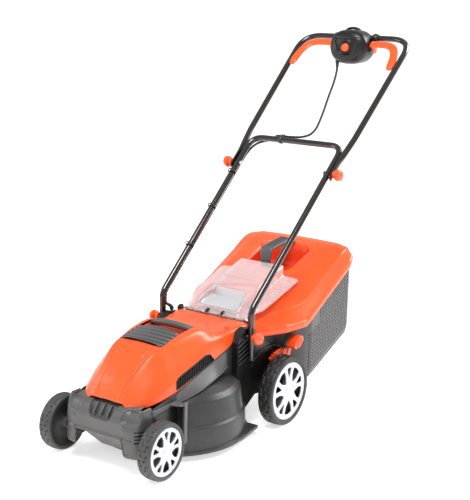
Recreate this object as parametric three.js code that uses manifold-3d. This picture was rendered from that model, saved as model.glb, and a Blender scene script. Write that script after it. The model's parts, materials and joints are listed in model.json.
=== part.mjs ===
// A walk-behind electric rotary lawn mower with a folding handle and a rear grass box.
// Millimetres, +Z up, the front faces -Y and the operator's left is +X.
// Heights are counted from the ground, and lengths from the rear wheels' axle line.

import * as THREE from 'three';
import { mergeVertices } from 'three/addons/utils/BufferGeometryUtils.js';
import Module from 'manifold-3d';

const wasm = await Module();
wasm.setup();

// ---------------------------------------------------------------- driving dimensions
const LENGTH_CENTRE = 59.5; // middle of the whole length, counted from the rear axle line
const GAP = 0.3; // between pieces that touch
const WALL = 3; // moulded wall

const REAR = { y: 0, radius: 100, cap: 83.5, width: 45, outer: 222, pivotY: 40 };
const FRONT = { y: -514, radius: 76, cap: 63.8, width: 40, outer: 186, pivotY: -474 };
const AXLE_R = 6;
const BORE_R = 6.3;
const LUG = 22; // height of the link rod's pins above the crank pivots

const DRUM_Y = -256; // the blade's axis
const DECK_TOP = 192;
const CHUTE_HALF = 121;
const POD_IN = 119;
const POD_OUT = 144;

const TUBE_R = 9.5;
const TUBE_BORE = 8;
const LOWER_X = 155; // lower handle tubes at the deck
const LOWER_TOP_X = 162;
const PIVOT = { y: -108.6, z: 273 }; // lower handle fold
const KNEE = { y: -107, z: 347 };
const CROSSBAR = { y: 351, z: 756 };
const MID = { y: 270, z: 683 }; // upper handle fold
const UPPER_X = 183;
const UPPER_TOP_X = 198.4;
const TOP_BAR = { y: 700, z: 1062 };
const BOLT_R = 4;
const BOLT_BORE = 4.3;

const HINGE = { y: -60, z: 300, r: 3 }; // rear flap
const LEAD_R = 3.5;
const SWITCH = { y: 662, z: 1033, half: 70, tall: 50, wall: 2.6 };
const BUTTON = { z: 1032, r: 13 };
const SCREW = { x: 98, y: -140, r: 7 }; // hood screws and their bosses on the deck
const BAIL_PIVOT = { y: 682, z: 1022 };

const COLOURS = {
  orange: { color: 0xf4511e, roughness: 0.25, metalness: 0 },
  darkGrey: { color: 0x4a4a4c, roughness: 0.5, metalness: 0 },
  midGrey: { color: 0x7d7d7e, roughness: 0.55, metalness: 0 },
  black: { color: 0x17171a, roughness: 0.6, metalness: 0 },
  tube: { color: 0x2b2523, roughness: 0.25, metalness: 0.7 },
  tread: { color: 0x2a2a2c, roughness: 0.85, metalness: 0 },
  silver: { color: 0xd9dadc, roughness: 0.35, metalness: 0.3 },
  steel: { color: 0x9a9da1, roughness: 0.3, metalness: 0.9 },
  clear: { color: 0xf7dfe2, roughness: 0.1, metalness: 0 },
  copper: { color: 0xb87333, roughness: 0.4, metalness: 0.8 },
};

const mower = new THREE.Group();
mower.position.y = -LENGTH_CENTRE;

// ---------------------------------------------------------------- solid helpers
/** Merge shared corners and drop triangles that have collapsed to a line. */
function closed(geometry) {
  const bare = geometry.clone();
  bare.deleteAttribute('normal');
  bare.deleteAttribute('uv');
  const merged = mergeVertices(bare, 1e-4);
  const old = merged.index.array;
  const kept = [];
  for (let i = 0; i < old.length; i += 3) {
    const [a, b, c] = [old[i], old[i + 1], old[i + 2]];
    if (a !== b && b !== c && c !== a) kept.push(a, b, c);
  }
  merged.setIndex(kept);
  return merged;
}

/** The manifold solid of a closed geometry. */
function solid(geometry) {
  const merged = closed(geometry);
  const vertProperties = Float32Array.from(merged.attributes.position.array);
  const triVerts = Uint32Array.from(merged.index.array);
  return new wasm.Manifold(new wasm.Mesh({ numProp: 3, vertProperties, triVerts }));
}

/** The geometry of a manifold solid. */
function surface(body) {
  const mesh = body.getMesh();
  const geometry = new THREE.BufferGeometry();
  geometry.setAttribute('position', new THREE.BufferAttribute(mesh.vertProperties, 3));
  geometry.setIndex(new THREE.BufferAttribute(mesh.triVerts, 1));
  return geometry;
}

const join = (first, ...rest) => rest.reduce((sum, next) => sum.add(next), first);
const cut = (first, ...rest) => rest.reduce((left, next) => left.subtract(next), first);

/** Add one named piece, made from a geometry or a manifold solid. */
function piece(name, body, finish) {
  const geometry = closed(body.isBufferGeometry ? body : surface(body));
  geometry.computeVertexNormals();
  const mesh = new THREE.Mesh(geometry, new THREE.MeshStandardMaterial(COLOURS[finish]));
  mesh.name = name;
  mower.add(mesh);
}

const outline = (points) => new THREE.Shape(points.map(([a, b]) => new THREE.Vector2(a, b)));
const reflect = (points) => points.map(([a, b]) => [-a, b]).reverse();

/** A half outline given from one end to the other, completed by its mirror image in x. */
const symmetric = (points) => [...points, ...reflect(points)];

/** Corners of a regular polygon that stands for a circle. */
function ring(radius, sides, centre = [0, 0]) {
  const corners = [];
  for (let i = 0; i < sides; i += 1) {
    const angle = (2 * Math.PI * i) / sides;
    corners.push([centre[0] + radius * Math.cos(angle), centre[1] + radius * Math.sin(angle)]);
  }
  return corners;
}

const EAST = new THREE.Vector3(1, 0, 0);
const NORTH = new THREE.Vector3(0, 1, 0);
const UP = new THREE.Vector3(0, 0, 1);

/** Extrude an outline of [y, z] corners from x0 to x1. */
function slabX(points, x0, x1) {
  const shape = points instanceof THREE.Shape ? points : outline(points);
  const slab = new THREE.ExtrudeGeometry(shape, { depth: x1 - x0, bevelEnabled: false });
  slab.applyMatrix4(new THREE.Matrix4().makeBasis(NORTH, UP, EAST));
  return slab.translate(x0, 0, 0);
}

/** Extrude an outline of [x, z] corners from y0 to y1. */
function slabY(points, y0, y1) {
  const slab = new THREE.ExtrudeGeometry(outline(points), { depth: y1 - y0, bevelEnabled: false });
  slab.applyMatrix4(new THREE.Matrix4().makeBasis(EAST, UP, NORTH.clone().negate()));
  return slab.translate(0, y1, 0);
}

/** Extrude an outline of [x, y] corners from z0 to z1. */
function slabZ(points, z0, z1) {
  const slab = new THREE.ExtrudeGeometry(outline(points), { depth: z1 - z0, bevelEnabled: false });
  return slab.translate(0, 0, z0);
}

/** A box between two corners. */
function block(low, high) {
  const box = new THREE.BoxGeometry(high[0] - low[0], high[1] - low[1], high[2] - low[2]);
  return box.translate((low[0] + high[0]) / 2, (low[1] + high[1]) / 2, (low[2] + high[2]) / 2);
}

/** A round bar along X. */
const barX = (radius, x0, x1, y, z, sides = 16) => slabX(ring(radius, sides, [y, z]), x0, x1);

/** A turned piece about a vertical axis at (x, y), from [radius, z] corners. */
function turned(profile, sides, x = 0, y = DRUM_Y) {
  const points = profile.map(([r, z]) => new THREE.Vector2(r, z));
  if (THREE.ShapeUtils.area(points) < 0) points.reverse();
  const lathe = new THREE.LatheGeometry(points, sides);
  lathe.rotateX(Math.PI / 2);
  return lathe.translate(x, y, 0);
}

/** A closed ring of rectangular section about the blade's axis. */
const collar = (inner, outer, z0, z1, sides = 20) => turned(
  [[inner, z0], [outer, z0], [outer, z1], [inner, z1], [inner, z0]], sides);

/** A skin through rings of equal length, closed by a fan at each end. */
function loft(rings) {
  const count = rings[0].length;
  const corners = rings.flat(2);
  const faces = [];
  for (let i = 0; i < rings.length - 1; i += 1) {
    for (let j = 0; j < count; j += 1) {
      const k = (j + 1) % count;
      const [a, b, c, d] = [i * count + j, i * count + k, (i + 1) * count + k, (i + 1) * count + j];
      faces.push(a, b, c, a, c, d);
    }
  }
  for (const [start, flip] of [[0, false], [(rings.length - 1) * count, true]]) {
    for (let j = 1; j < count - 1; j += 1) {
      if (flip) faces.push(start, start + j, start + j + 1);
      else faces.push(start, start + j + 1, start + j);
    }
  }
  const geometry = new THREE.BufferGeometry();
  geometry.setAttribute('position', new THREE.Float32BufferAttribute(corners, 3));
  geometry.setIndex(faces);
  return geometry;
}

/** A route through fixed points, sampled exactly at those points. */
class Route extends THREE.Curve {
  constructor(points) {
    super();
    this.points = points.map((p) => new THREE.Vector3(...p));
  }

  getPoint(t, target = new THREE.Vector3()) {
    const place = t * (this.points.length - 1);
    const index = Math.min(Math.floor(place), this.points.length - 2);
    return target.lerpVectors(this.points[index], this.points[index + 1], place - index);
  }

  getPointAt(u, target) {
    return this.getPoint(u, target);
  }

  getTangentAt(u, target = new THREE.Vector3()) {
    const last = this.points.length - 1;
    const index = Math.round(u * last);
    const before = this.points[Math.max(index - 1, 0)];
    const here = this.points[index];
    const after = this.points[Math.min(index + 1, last)];
    const incoming = here.clone().sub(before).normalize();
    const outgoing = after.clone().sub(here).normalize();
    return target.copy(incoming.add(outgoing)).normalize();
  }
}

/** Round the inner corners of a polyline, each with its own radius. */
function rounded(corners, radii, steps = 4) {
  const points = [corners[0]];
  for (let i = 1; i < corners.length - 1; i += 1) {
    const corner = new THREE.Vector3(...corners[i]);
    const back = new THREE.Vector3(...corners[i - 1]).sub(corner).normalize();
    const on = new THREE.Vector3(...corners[i + 1]).sub(corner).normalize();
    const half = back.angleTo(on) / 2;
    const run = radii[i - 1] / Math.tan(half);
    const curve = new THREE.QuadraticBezierCurve3(
      corner.clone().addScaledVector(back, run), corner, corner.clone().addScaledVector(on, run));
    for (const p of curve.getPoints(steps)) points.push([p.x, p.y, p.z]);
  }
  points.push(corners[corners.length - 1]);
  return points;
}

/** A round bar or cord along fixed points, or a tube with open ends where it has a bore. */
function pipe(points, radius, sides = 10, bore = 0) {
  const options = { steps: points.length - 1, extrudePath: new Route(points), bevelEnabled: false };
  const section = outline(ring(radius, sides));
  if (bore > 0) section.holes.push(outline(ring(bore, 6).reverse()));
  return new THREE.ExtrudeGeometry(section, options);
}

const sides = [['left', 1], ['right', -1]];

/** Put the same x range on either side of the middle plane. */
const span = (side, inner, outer) => (side > 0 ? [inner, outer] : [-outer, -inner]);

/** The value at y on the straight lines between [y, value] knots. */
function level(knots, y) {
  let i = 0;
  while (i < knots.length - 2 && y > knots[i + 1][0]) i += 1;
  const [y0, v0] = knots[i];
  const [y1, v1] = knots[i + 1];
  return v0 + ((v1 - v0) * (y - y0)) / (y1 - y0);
}

// ---------------------------------------------------------------- wheels
/** One moulded wheel with its tread, hub and web, turned about the X axis. */
function wheelBody(size, side) {
  const { radius, cap, width, outer, y } = size;
  const mid = width / 2;
  const profile = [
    [BORE_R, 2], [15, 2], [15, mid - 3], [cap + 0.4, mid - 3], [cap + 0.4, 0], [radius - 3, 0],
    [radius, 6], [radius, width - 5], [radius - 4, width], [cap + 0.4, width],
    [cap + 0.4, mid + 3], [15, mid + 3], [15, width - 14], [BORE_R, width - 14], [BORE_R, 2],
  ];
  const lathe = new THREE.LatheGeometry(profile.map(([r, a]) => new THREE.Vector2(r, a)), 20);
  lathe.rotateZ(side > 0 ? -Math.PI / 2 : Math.PI / 2);
  return lathe.translate(side * (outer - width), y, radius);
}

/** The pierced cover with five forked spokes around a boss. */
function wheelCap(size, side) {
  const { radius, cap, width, outer, y } = size;
  const shape = outline(ring(cap, 20, [y, radius]));
  const rim = cap - 9;
  const polar = (r, degrees) => new THREE.Vector2(
    y + r * Math.cos(THREE.MathUtils.degToRad(degrees)),
    radius + r * Math.sin(THREE.MathUtils.degToRad(degrees)));
  for (let i = 0; i < 5; i += 1) {
    const spoke = 90 + 72 * i;
    const fork = [polar(cap * 0.5, spoke), polar(rim, spoke - 9), polar(rim, spoke + 9)];
    const bay = [polar(cap * 0.3, spoke + 36), polar(cap * 0.62, spoke + 20), polar(rim, spoke + 19),
      polar(rim, spoke + 36), polar(rim, spoke + 53), polar(cap * 0.62, spoke + 52)];
    shape.holes.push(new THREE.Path(fork), new THREE.Path(bay));
  }
  const [x0, x1] = span(side, outer - 7, outer - 3);
  const [b0, b1] = span(side, outer - 7, outer - 0.5);
  const boss = solid(slabX(ring(cap * 0.2, 12, [y, radius]), b0, b1));
  return join(solid(slabX(shape, x0, x1)), boss);
}

for (const [end, size] of [['front', FRONT], ['rear', REAR]]) {
  for (const [name, side] of sides) {
    piece(`${end}_wheel_${name}`, wheelBody(size, side), 'tread');
    piece(`${end}_hubcap_${name}`, wheelCap(size, side), 'silver');
  }
}

// ---------------------------------------------------------------- cranked axles and height lever
/** A straight-sided link with round ends between two [y, z] centres, as an outline. */
function linkOutline(a, b, radius) {
  const angle = Math.atan2(b[1] - a[1], b[0] - a[0]);
  const points = [];
  for (const [centre, start] of [[b, angle - Math.PI / 2], [a, angle + Math.PI / 2]]) {
    for (let i = 0; i <= 4; i += 1) {
      const turn = start + (Math.PI * i) / 4;
      points.push([centre[0] + radius * Math.cos(turn), centre[1] + radius * Math.sin(turn)]);
    }
  }
  return points;
}

/** A cross bar with a crank arm and a wheel stub at each end. */
function crankedAxle(size, armIn, armOut, reach) {
  const z = size.radius;
  const parts = [solid(barX(AXLE_R, -reach, reach, size.pivotY, z, 12))];
  for (const [, side] of sides) {
    const [a0, a1] = span(side, armIn, armOut);
    const [s0, s1] = span(side, armOut - 1, size.outer - 9);
    parts.push(solid(slabX(linkOutline([size.pivotY, z], [size.y, z], 11), a0, a1)));
    const retainer = span(side, size.outer - 13.5, size.outer - 11);
    parts.push(solid(barX(AXLE_R, s0, s1, size.y, z, 12)));
    parts.push(solid(barX(11, ...retainer, size.y, z, 12)));
  }
  const lug = linkOutline([size.pivotY, z], [size.pivotY, z + LUG], 8);
  parts.push(solid(slabX(lug, -armOut, -armIn)));
  const pinHole = solid(barX(3.3, -armOut - 1, -armIn + 1, size.pivotY, z + LUG, 12));
  return cut(join(...parts), pinHole);
}

const FRONT_ARM = [133, 139];
const REAR_ARM = [163, 169];
piece('front_axle', crankedAxle(FRONT, ...FRONT_ARM, FRONT_ARM[1] - 1), 'steel');
piece('rear_axle', crankedAxle(REAR, ...REAR_ARM, 174.5), 'steel');

// The rod follows the outside of the drum on the right, between the two cranks' lugs.
const rodEndIn = [[-REAR_ARM[0] + 2, REAR.pivotY, REAR.radius + LUG]];
const rodRun = [
  [-172, REAR.pivotY, REAR.radius + LUG], [-172, -122, 116],
  [-202, -190, 112], [-202, -350, 106], [-142, -436, FRONT.radius + LUG],
  [-142, FRONT.pivotY, FRONT.radius + LUG], [-FRONT_ARM[0] + 2, FRONT.pivotY, FRONT.radius + LUG],
];
piece('height_link_rod', pipe(rounded([...rodEndIn, ...rodRun], [3, 14, 20, 20, 14, 3], 2), 2.5, 8), 'steel');

const leverPlate = [[28, 92], [40, 86], [52, 92], [54, 130], [82, 206], [66, 212], [34, 140]];
const leverKnob = [[58, 209], [66, 204], [86, 206], [104, 222], [100, 234], [84, 236], [66, 224]];
const lever = join(
  solid(slabX(leverPlate, 169.4, 174.2)),
  solid(slabX(leverKnob, 169.4, 198)));
piece('height_lever', cut(lever, solid(barX(BORE_R + 0.1, 169, 175, REAR.pivotY, REAR.radius, 12))), 'orange');

/** The toothed sector beside the lever: a rim of steps on a web that grips the axle bearing. */
function quadrant() {
  const points = [];
  for (let i = 0; i <= 8; i += 1) {
    const degrees = 64 + 7 * i;
    for (const [r, shift] of [[98, -2], [104, -2], [104, 2], [98, 2]]) {
      const angle = THREE.MathUtils.degToRad(degrees + shift);
      points.push([REAR.pivotY + r * Math.cos(angle), REAR.radius + r * Math.sin(angle)]);
    }
  }
  points.push([-2, 176], [22, 110], [26, 92], [54, 92], [58, 110], [74, 170]);
  const plate = join(solid(slabX(points, 156, 161)), solid(barX(14, POD_OUT + GAP, 161, 40, 100)));
  return cut(plate, solid(barX(AXLE_R + 0.4, POD_OUT, 162, 40, 100)));
}
piece('height_quadrant', quadrant(), 'orange');

// ---------------------------------------------------------------- deck
const drumOuter = [[0, DECK_TOP], [118, DECK_TOP], [150, 178], [176, 163], [188, 151], [194, 90], [202, 85],
  [204, 27], [210, 26], [210, 18], [0, 18]];
const drumInner = [[0, DECK_TOP - WALL], [117, DECK_TOP - WALL], [148.5, 175.2], [174, 160.6], [185, 149.5], [191, 88],
  [199, 83], [201, 24], [201, 10], [0, 10]];

// The lower edge of the hood, where it meets the deck's walls.
const HOOD_EDGE = [[-531, 165], [-480, 172], [-396, 187], [-166, 252], [-97, 289], [-66, 292]];

const trayTop = HOOD_EDGE.slice(1, 5).map(([y, z]) => [y, z - 0.4]);
const trayOuter = [[-500, 140], [-500, 168], ...trayTop, [-76, 290], [-60, 281], [-60, 140]];
const trayInner = [[-496, 320], [-496, 168], [-437, 168], [-376, 195], [-165, 195], [-158, 206],
  [-80, 286], [-80, 320]];
const chuteOuter = [[-205, 55], [-205, 150], [-153, 200], [-73, 281], [-52, 281], [-52, 58], [-80, 50]];
const chuteInner = [[-206, 40], [-206, 145], [-150, 197], [-71, 277], [-45, 277], [-45, 66], [-80, 58],
  [-100, 40]];
const podOutline = [[-150, 120], [-150, 262], [-128, 292], [-70, 292], [-56, 255], [0, 235],
  [40, 170], [62, 130], [62, 82], [20, 82], [-60, 92], [-110, 60]];
const cheekOutline = [[-500, 46], [-500, 168], [-396, 168], [-396, 60], [-440, 46]];
const guardOutline = [[-546, 88], [-541, 90], [-455, 28], [-455, 20], [-466, 20]];
const earOutline = [[-72, 280], [-72, 303], [-66, 307], [-54, 307], [-49, 303], [-49, 280]];

/** The rim runs back on both sides of the drum to in front of the rear wheels. */
const skirtOutline = [[120, -256], [209, -256], [207, -205], [192, -112], [120, -112]];

/** A round upright bar on a hood screw's axis. */
const screwBar = (radius, side, z0, z1) => solid(
  turned([[0, z0], [radius, z0], [radius, z1], [0, z1]], 10, side * SCREW.x, SCREW.y));

function deckShell() {
  const parts = [
    solid(turned(drumOuter, 32)),
    solid(slabX(trayOuter, -122, 122)),
    solid(slabX(chuteOuter, -CHUTE_HALF, CHUTE_HALF)),
    solid(slabX([[-500, 60], [-500, 168], [-496, 168], [-496, 60]], -120, 120)),
    solid(slabX(guardOutline, -72, 72)),
  ];
  for (const [, side] of sides) {
    const [p0, p1] = span(side, POD_IN, POD_OUT);
    const [c0, c1] = span(side, 118, 128);
    const [e0, e1] = span(side, 121.5, 127);
    parts.push(solid(slabX(podOutline, p0, p1)));
    parts.push(solid(slabX(cheekOutline, c0, c1)));
    parts.push(solid(slabX(earOutline, e0, e1)));
    parts.push(screwBar(SCREW.r, side, 188, 286));
    const skirt = skirtOutline.map(([x, y]) => [side * x, y]);
    parts.push(solid(slabZ(side > 0 ? skirt.reverse() : skirt, 18, 26)));
  }
  const cuts = [
    solid(turned(drumInner, 32)),
    solid(slabX(chuteInner, -CHUTE_HALF + WALL, CHUTE_HALF - WALL)),
    solid(turned([[0, 180], [40, 180], [40, 196], [0, 196]], 20)),
  ];
  const bays = cut(solid(slabX(trayInner, -119, 119)),
    ...sides.map(([, side]) => screwBar(SCREW.r, side, 180, 286)));
  for (const [, side] of sides) {
    const [h0, h1] = span(side, 100, 160);
    const [w0, w1] = span(side, 131, 230);
    cuts.push(solid(barX(AXLE_R + 0.4, h0, h1, REAR.pivotY, REAR.radius)));
    cuts.push(solid(barX(AXLE_R + 0.4, h0, h1, FRONT.pivotY, FRONT.radius)));
    cuts.push(solid(barX(HINGE.r + GAP, h0, h1, HINGE.y, HINGE.z, 12)));
    cuts.push(solid(barX(88, w0, w1, FRONT.y + 2, FRONT.radius - 6, 24)));
    cuts.push(solid(barX(BOLT_BORE, ...span(side, 124, 160), PIVOT.y, PIVOT.z, 10)));
    cuts.push(screwBar(2.3, side, 255, 290));
    const [k0, k1] = span(side, POD_IN + WALL, POD_OUT - WALL);
    cuts.push(solid(slabX([[-146, 110], [-146, 150], [20, 150], [20, 86], [-56, 96]], k0, k1)));
    cuts.push(solid(block([Math.min(k0, k1), -40, 60], [Math.max(k0, k1), 20, 120])));
  }
  const hoodSeat = HOOD_EDGE.slice(2, 5).map(([y, z]) => [y, z - 0.4]);
  cuts.push(solid(slabX([...hoodSeat, [-71, 291.2], [-71, 330], [-396, 330]], -124.5, 124.5)));
  return cut(join(...parts), ...cuts, bays);
}
piece('deck_shell', deckShell(), 'darkGrey');

// ---------------------------------------------------------------- front bumper
/** The bumper's solid, drawn in by an inset for its inner face. */
function bumperBody(inset, open) {
  const low = open ? 20 : 50;
  const back = open ? -480 : -500.4;
  const side = [[back, low], [-556 + inset, low], [-562 + inset, 62], [-562 + inset, 122],
    [-552 + inset, 150 - inset], [-533 + inset, 172 - inset], [back, 175 - inset]];
  const plan = symmetric([[60, -562 + inset], [112 - inset, -557 + inset], [124 - inset, -544 + inset],
    [127 - inset, -520], [127 - inset, back]]);
  const front = symmetric([[122 - inset, low], [127 - inset, 110], [125 - inset, 150],
    [112 - inset, 172 - inset], [70, 176 - inset]]);
  const body = solid(slabX(side, -130, 130)).intersect(solid(slabZ(plan, low - 5, 190)));
  return body.intersect(solid(slabY(front, -570, -470)));
}

function frontBumper() {
  const arch = symmetric([[86, 30], [76, 90]]);
  const scoop = symmetric([[30, 136], [42, 146], [52, 190]]);
  const shell = cut(bumperBody(0, false), bumperBody(3.5, true), solid(slabY(arch, -600, -499)));
  const pocket = solid(slabY(symmetric([[27, 133], [45, 144], [55, 171]]), -546, -530));
  const scoopCut = solid(slabY(scoop, -580, -543));
  const fins = [-24, 0, 24].map((x) => solid(slabX(
    [[-557, 146], [-543, 140], [-530, 140], [-530, 168], [-535, 168]], x - 1.6, x + 1.6)));
  const hoodNotch = [[71, -534.5], [114, -531.4]].map(([half, front]) => solid(
    block([-half, front, 163], [half, -490, 190])));
  return cut(join(cut(join(shell, pocket), scoopCut), ...fins), ...hoodNotch);
}
piece('front_bumper', frontBumper(), 'midGrey');

// ---------------------------------------------------------------- hood and its covers
// Each station along the hood: y, crown, crease [x, z], flank [x, z] and half width at the edge.
const HOOD = [
  [-531, 180, [65, 176], [84, 171], 92], [-500, 226, [61, 220], [96, 196], 112],
  [-460, 265, [65, 259], [102, 222], 118], [-420, 292, [73, 286], [106, 240], 121],
  [-380, 305, [78, 299], [108, 250], 123], [-340, 315, [84, 309], [110, 258], 124],
  [-300, 321, [88, 315], [112, 268], 124], [-266, 323, [90, 318], [113, 278], 124],
  [-236, 316, [92, 312], [114, 282], 124], [-214, 297, [94, 298], [114, 281], 124],
  [-150, 293, [98, 294], [115, 287], 124], [-97, 297, [104, 297], [116, 295], 124],
  [-72, 299, [108, 299], [118, 297], 124],
];

function hoodRing([y, crown, crease, flank, half], inset, drop) {
  const edge = level(HOOD_EDGE, y);
  const right = [[half - inset, edge - drop], [flank[0] - inset, flank[1] - inset * 0.6],
    [crease[0] - inset * 0.7, crease[1] - inset], [crease[0] * 0.5, crown - inset * 1.1 - 1]];
  const arch = [...right, [0, crown - inset * 1.1], ...reflect(right)];
  return arch.map(([x, z]) => [x, y, z]);
}

const hoodSolid = solid(loft(HOOD.map((row) => hoodRing(row, 0, 0)).reverse()));
const hoodHollow = solid(loft(HOOD.slice(1).map((row) => hoodRing(row, 2.6, 30)).reverse()));
const hoodTail = solid(loft([HOOD[12], [-60, 299, [108, 299], [118, 297], 124]]
  .map((row) => hoodRing(row, 2.6, 30)).reverse()));
const hoodShell = cut(hoodSolid, hoodHollow, hoodTail);
const ventOutline = [[-396, 170], [-394, 213], [-384, 220], [-266, 254], [-252, 250], [-236, 233], [-236, 220]];

/** The side grille: the hood's own skin inside the vent's outline, with upright slots. */
function sideVent(side) {
  const [x0, x1] = span(side, 95, 140);
  const middle = [-316, 214];
  const shrunk = ventOutline.map(([y, z]) => [
    y + 2 * GAP * Math.sign(middle[0] - y), z > middle[1] ? z - 2.7 * GAP : z]);
  const grille = hoodShell.intersect(solid(slabX(shrunk, x0, x1)));
  const slots = [];
  for (let y = -382; y <= -262; y += 20) {
    const floor = level(HOOD_EDGE, y + 9) + 5;
    slots.push(solid(slabX([[y, floor - 2], [y + 9, floor], [y + 9, floor + 19], [y, floor + 17]], x0, x1)));
  }
  return cut(grille, ...slots);
}

function motorHood() {
  const mouth = solid(block([-70.4, -397, 262], [70.4, -232, 340]));
  const holes = sides.map(([, side]) => screwBar(5.4, side, 270, 310));
  const vents = sides.map(([, side]) => solid(slabX(ventOutline, ...span(side, 95, 140))));
  return cut(hoodShell, mouth, ...holes, ...vents);
}
piece('motor_hood', motorHood(), 'orange');
for (const [name, side] of sides) piece(`side_vent_${name}`, sideVent(side), 'black');

/** The ribbed air intake in front of the carrying handle, and the floor under that handle. */
function intakeCover() {
  const top = [];
  const ribs = 5;
  for (let i = 0; i < ribs; i += 1) {
    const y = -396.5 + (78 * i) / ribs;
    const z = 296 + 16 * (i / ribs);
    top.push([y + 1, z - 5], [y + 4, z], [y + 12, z + 2.4], [y + 15, z - 2]);
  }
  const profile = [[-396.5, 286], ...top, [-317, 311], [-313, 297], [-241, 297], [-237, 309],
    [-233, 309], [-233, 304], [-238, 294], [-316, 294], [-321, 304], [-356, 294], [-393, 283]];
  return slabX(profile.reverse(), -70, 70);
}
piece('intake_cover', intakeCover(), 'midGrey');

const handleArch = [...symmetric([[69.9, 297.4], [69.9, 318], [60, 325], [0, 328]]).filter(([x], i) => x || i < 4),
  [-61, 297.4], [-55, 311], [0, 314], [55, 311], [61, 297.4]];
piece('carry_handle', slabY(handleArch, -267, -246), 'midGrey');

// ---------------------------------------------------------------- motor, rotor and blade
piece('motor_mount', turned([[14.4, 195.4], [66, 195.4], [66, 200], [50, 205], [14.4, 205], [14.4, 195.4]], 20),
  'black');
piece('motor_can', turned([[49, 205.3], [52, 205.3], [52, 286], [47, 290], [8, 290], [8, 287], [46, 287],
  [49, 284], [49, 205.3]], 20), 'steel');
piece('motor_stator', collar(30.5, 48.6, 215, 268), 'copper');
piece('bearing_lower', collar(6.3, 14, 196, 204, 16), 'steel');
piece('rotor_core', collar(6.3, 29.8, 218, 265), 'steel');
piece('cooling_fan', collar(6.3, 42, 271, 282), 'black');
piece('rotor_shaft', turned([[0, 36], [6, 36], [6, 291.5], [0, 291.5]], 16), 'steel');
piece('blade_carrier', turned([[6.3, 52], [28, 52], [28, 60], [16, 72], [16, 86], [6.3, 86], [6.3, 52]], 16),
  'black');
const bladePlan = [[-180, -281], [-120, -283], [-40, -283], [40, -277], [120, -277], [180, -270], [180, -231],
  [120, -229], [40, -229], [-40, -235], [-120, -235], [-180, -242]];
piece('blade', cut(solid(slabZ(bladePlan, 47.4, 51)), solid(turned([[0, 40], [6.3, 40], [6.3, 60], [0, 60]], 12))),
  'steel');
piece('blade_nut', collar(7.4, 14, 38, 47, 6), 'steel');

// ---------------------------------------------------------------- handle
/** The [y, z] place on the sloping handle, a distance past one of its points. */
const slope = new THREE.Vector2(CROSSBAR.y - KNEE.y, CROSSBAR.z - KNEE.z).normalize();
const along = (from, distance) => [from.y + slope.x * distance, from.z + slope.y * distance];

function lowerHandle() {
  const left = [[LOWER_X, -101, 206], [LOWER_X, KNEE.y, KNEE.z], [LOWER_TOP_X, CROSSBAR.y, CROSSBAR.z]];
  const right = left.map(([x, y, z]) => [-x, y, z]).reverse();
  const tube = solid(pipe(rounded([...left, ...right], [38, 43, 43, 38], 3), TUBE_R, 10, TUBE_BORE));
  const bores = [PIVOT, MID].map((at) => solid(barX(BOLT_BORE, -200, 200, at.y, at.z, 10)));
  return cut(tube, ...bores);
}
piece('lower_handle_tube', lowerHandle(), 'tube');

const TONGUE = [172, 180];
function upperHandle() {
  const start = along(MID, 46);
  const left = [[UPPER_X, ...start], [UPPER_TOP_X, TOP_BAR.y, TOP_BAR.z]];
  const right = left.map(([x, y, z]) => [-x, y, z]).reverse();
  const tube = solid(pipe(rounded([...left, ...right], [69, 69], 5), TUBE_R, 10, TUBE_BORE));
  const tongueEnds = [along(MID, -14), along(MID, 66)];
  const parts = [tube];
  const bores = [];
  for (const [, side] of sides) {
    const [t0, t1] = span(side, ...TONGUE);
    parts.push(solid(slabX(linkOutline(...tongueEnds, 11), t0, t1)));
    bores.push(solid(barX(BOLT_BORE, t0 - 1, t1 + 1, MID.y, MID.z, 10)));
  }
  return cut(join(...parts), ...bores);
}
piece('upper_handle_tube', upperHandle(), 'tube');

/** A clamping bolt: a shank along X with a head on its inner end. */
function clampBolt(at, side, headIn, tip) {
  const [s0, s1] = span(side, headIn, tip);
  const [h0, h1] = span(side, headIn - 4, headIn);
  return join(solid(barX(BOLT_R, s0, s1, at.y, at.z, 10)), solid(barX(8, h0, h1, at.y, at.z, 8)));
}

/** A wing knob around its bolt: a round hub with two swept wings. */
function wingKnob(at, side, base) {
  const [h0, h1] = span(side, base, base + 13);
  const [w0, w1] = span(side, base + 7, base + 24);
  const wings = [[-22, -4], [-25, 4], [-16, 8], [0, 6], [16, 8], [25, 4], [22, -4], [0, -7]];
  const profile = wings.map(([y, z]) => [at.y + y * 0.75 + z * 0.5, at.z + z * 0.9 - y * 0.55]);
  const knob = join(solid(barX(12, h0, h1, at.y, at.z, 12)), solid(slabX(profile, w0, w1)));
  const [b0, b1] = span(side, base - 1, base + 17);
  return cut(knob, solid(barX(BOLT_BORE, b0, b1, at.y, at.z, 10)));
}

for (const [name, side] of sides) {
  piece(`lower_bolt_${name}`, barX(BOLT_R, ...span(side, 127, 179), PIVOT.y, PIVOT.z, 10), 'steel');
  piece(`mid_bolt_${name}`, clampBolt(MID, side, 151, 194), 'steel');
  piece(`lower_knob_${name}`, wingKnob(PIVOT, side, LOWER_X + TUBE_R + 0.5), 'orange');
  piece(`mid_knob_${name}`, wingKnob(MID, side, TONGUE[1] + GAP), 'orange');
}

// ---------------------------------------------------------------- switch box and bail
/** A squarish oval slice of the switch box, given as [y, half width, half height]. */
function ovalSlice([y, half, tall]) {
  return ring(1, 16).map(([a, b]) => [
    half * Math.sign(a) * Math.abs(a) ** 0.7, y, SWITCH.z + tall * Math.sign(b) * Math.abs(b) ** 0.75]);
}

const ovalLoft = (slices) => solid(loft(slices.map(ovalSlice)));
const FRONT_SLICES = [[SWITCH.y - 0.2, SWITCH.half, SWITCH.tall], [644, 69, 49], [634, 62, 43], [629, 50, 33]];
const REAR_SLICES = [[720, 50, 34], [714, 62, 44], [700, 69, 49], [SWITCH.y + 0.2, SWITCH.half, SWITCH.tall]];

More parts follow.
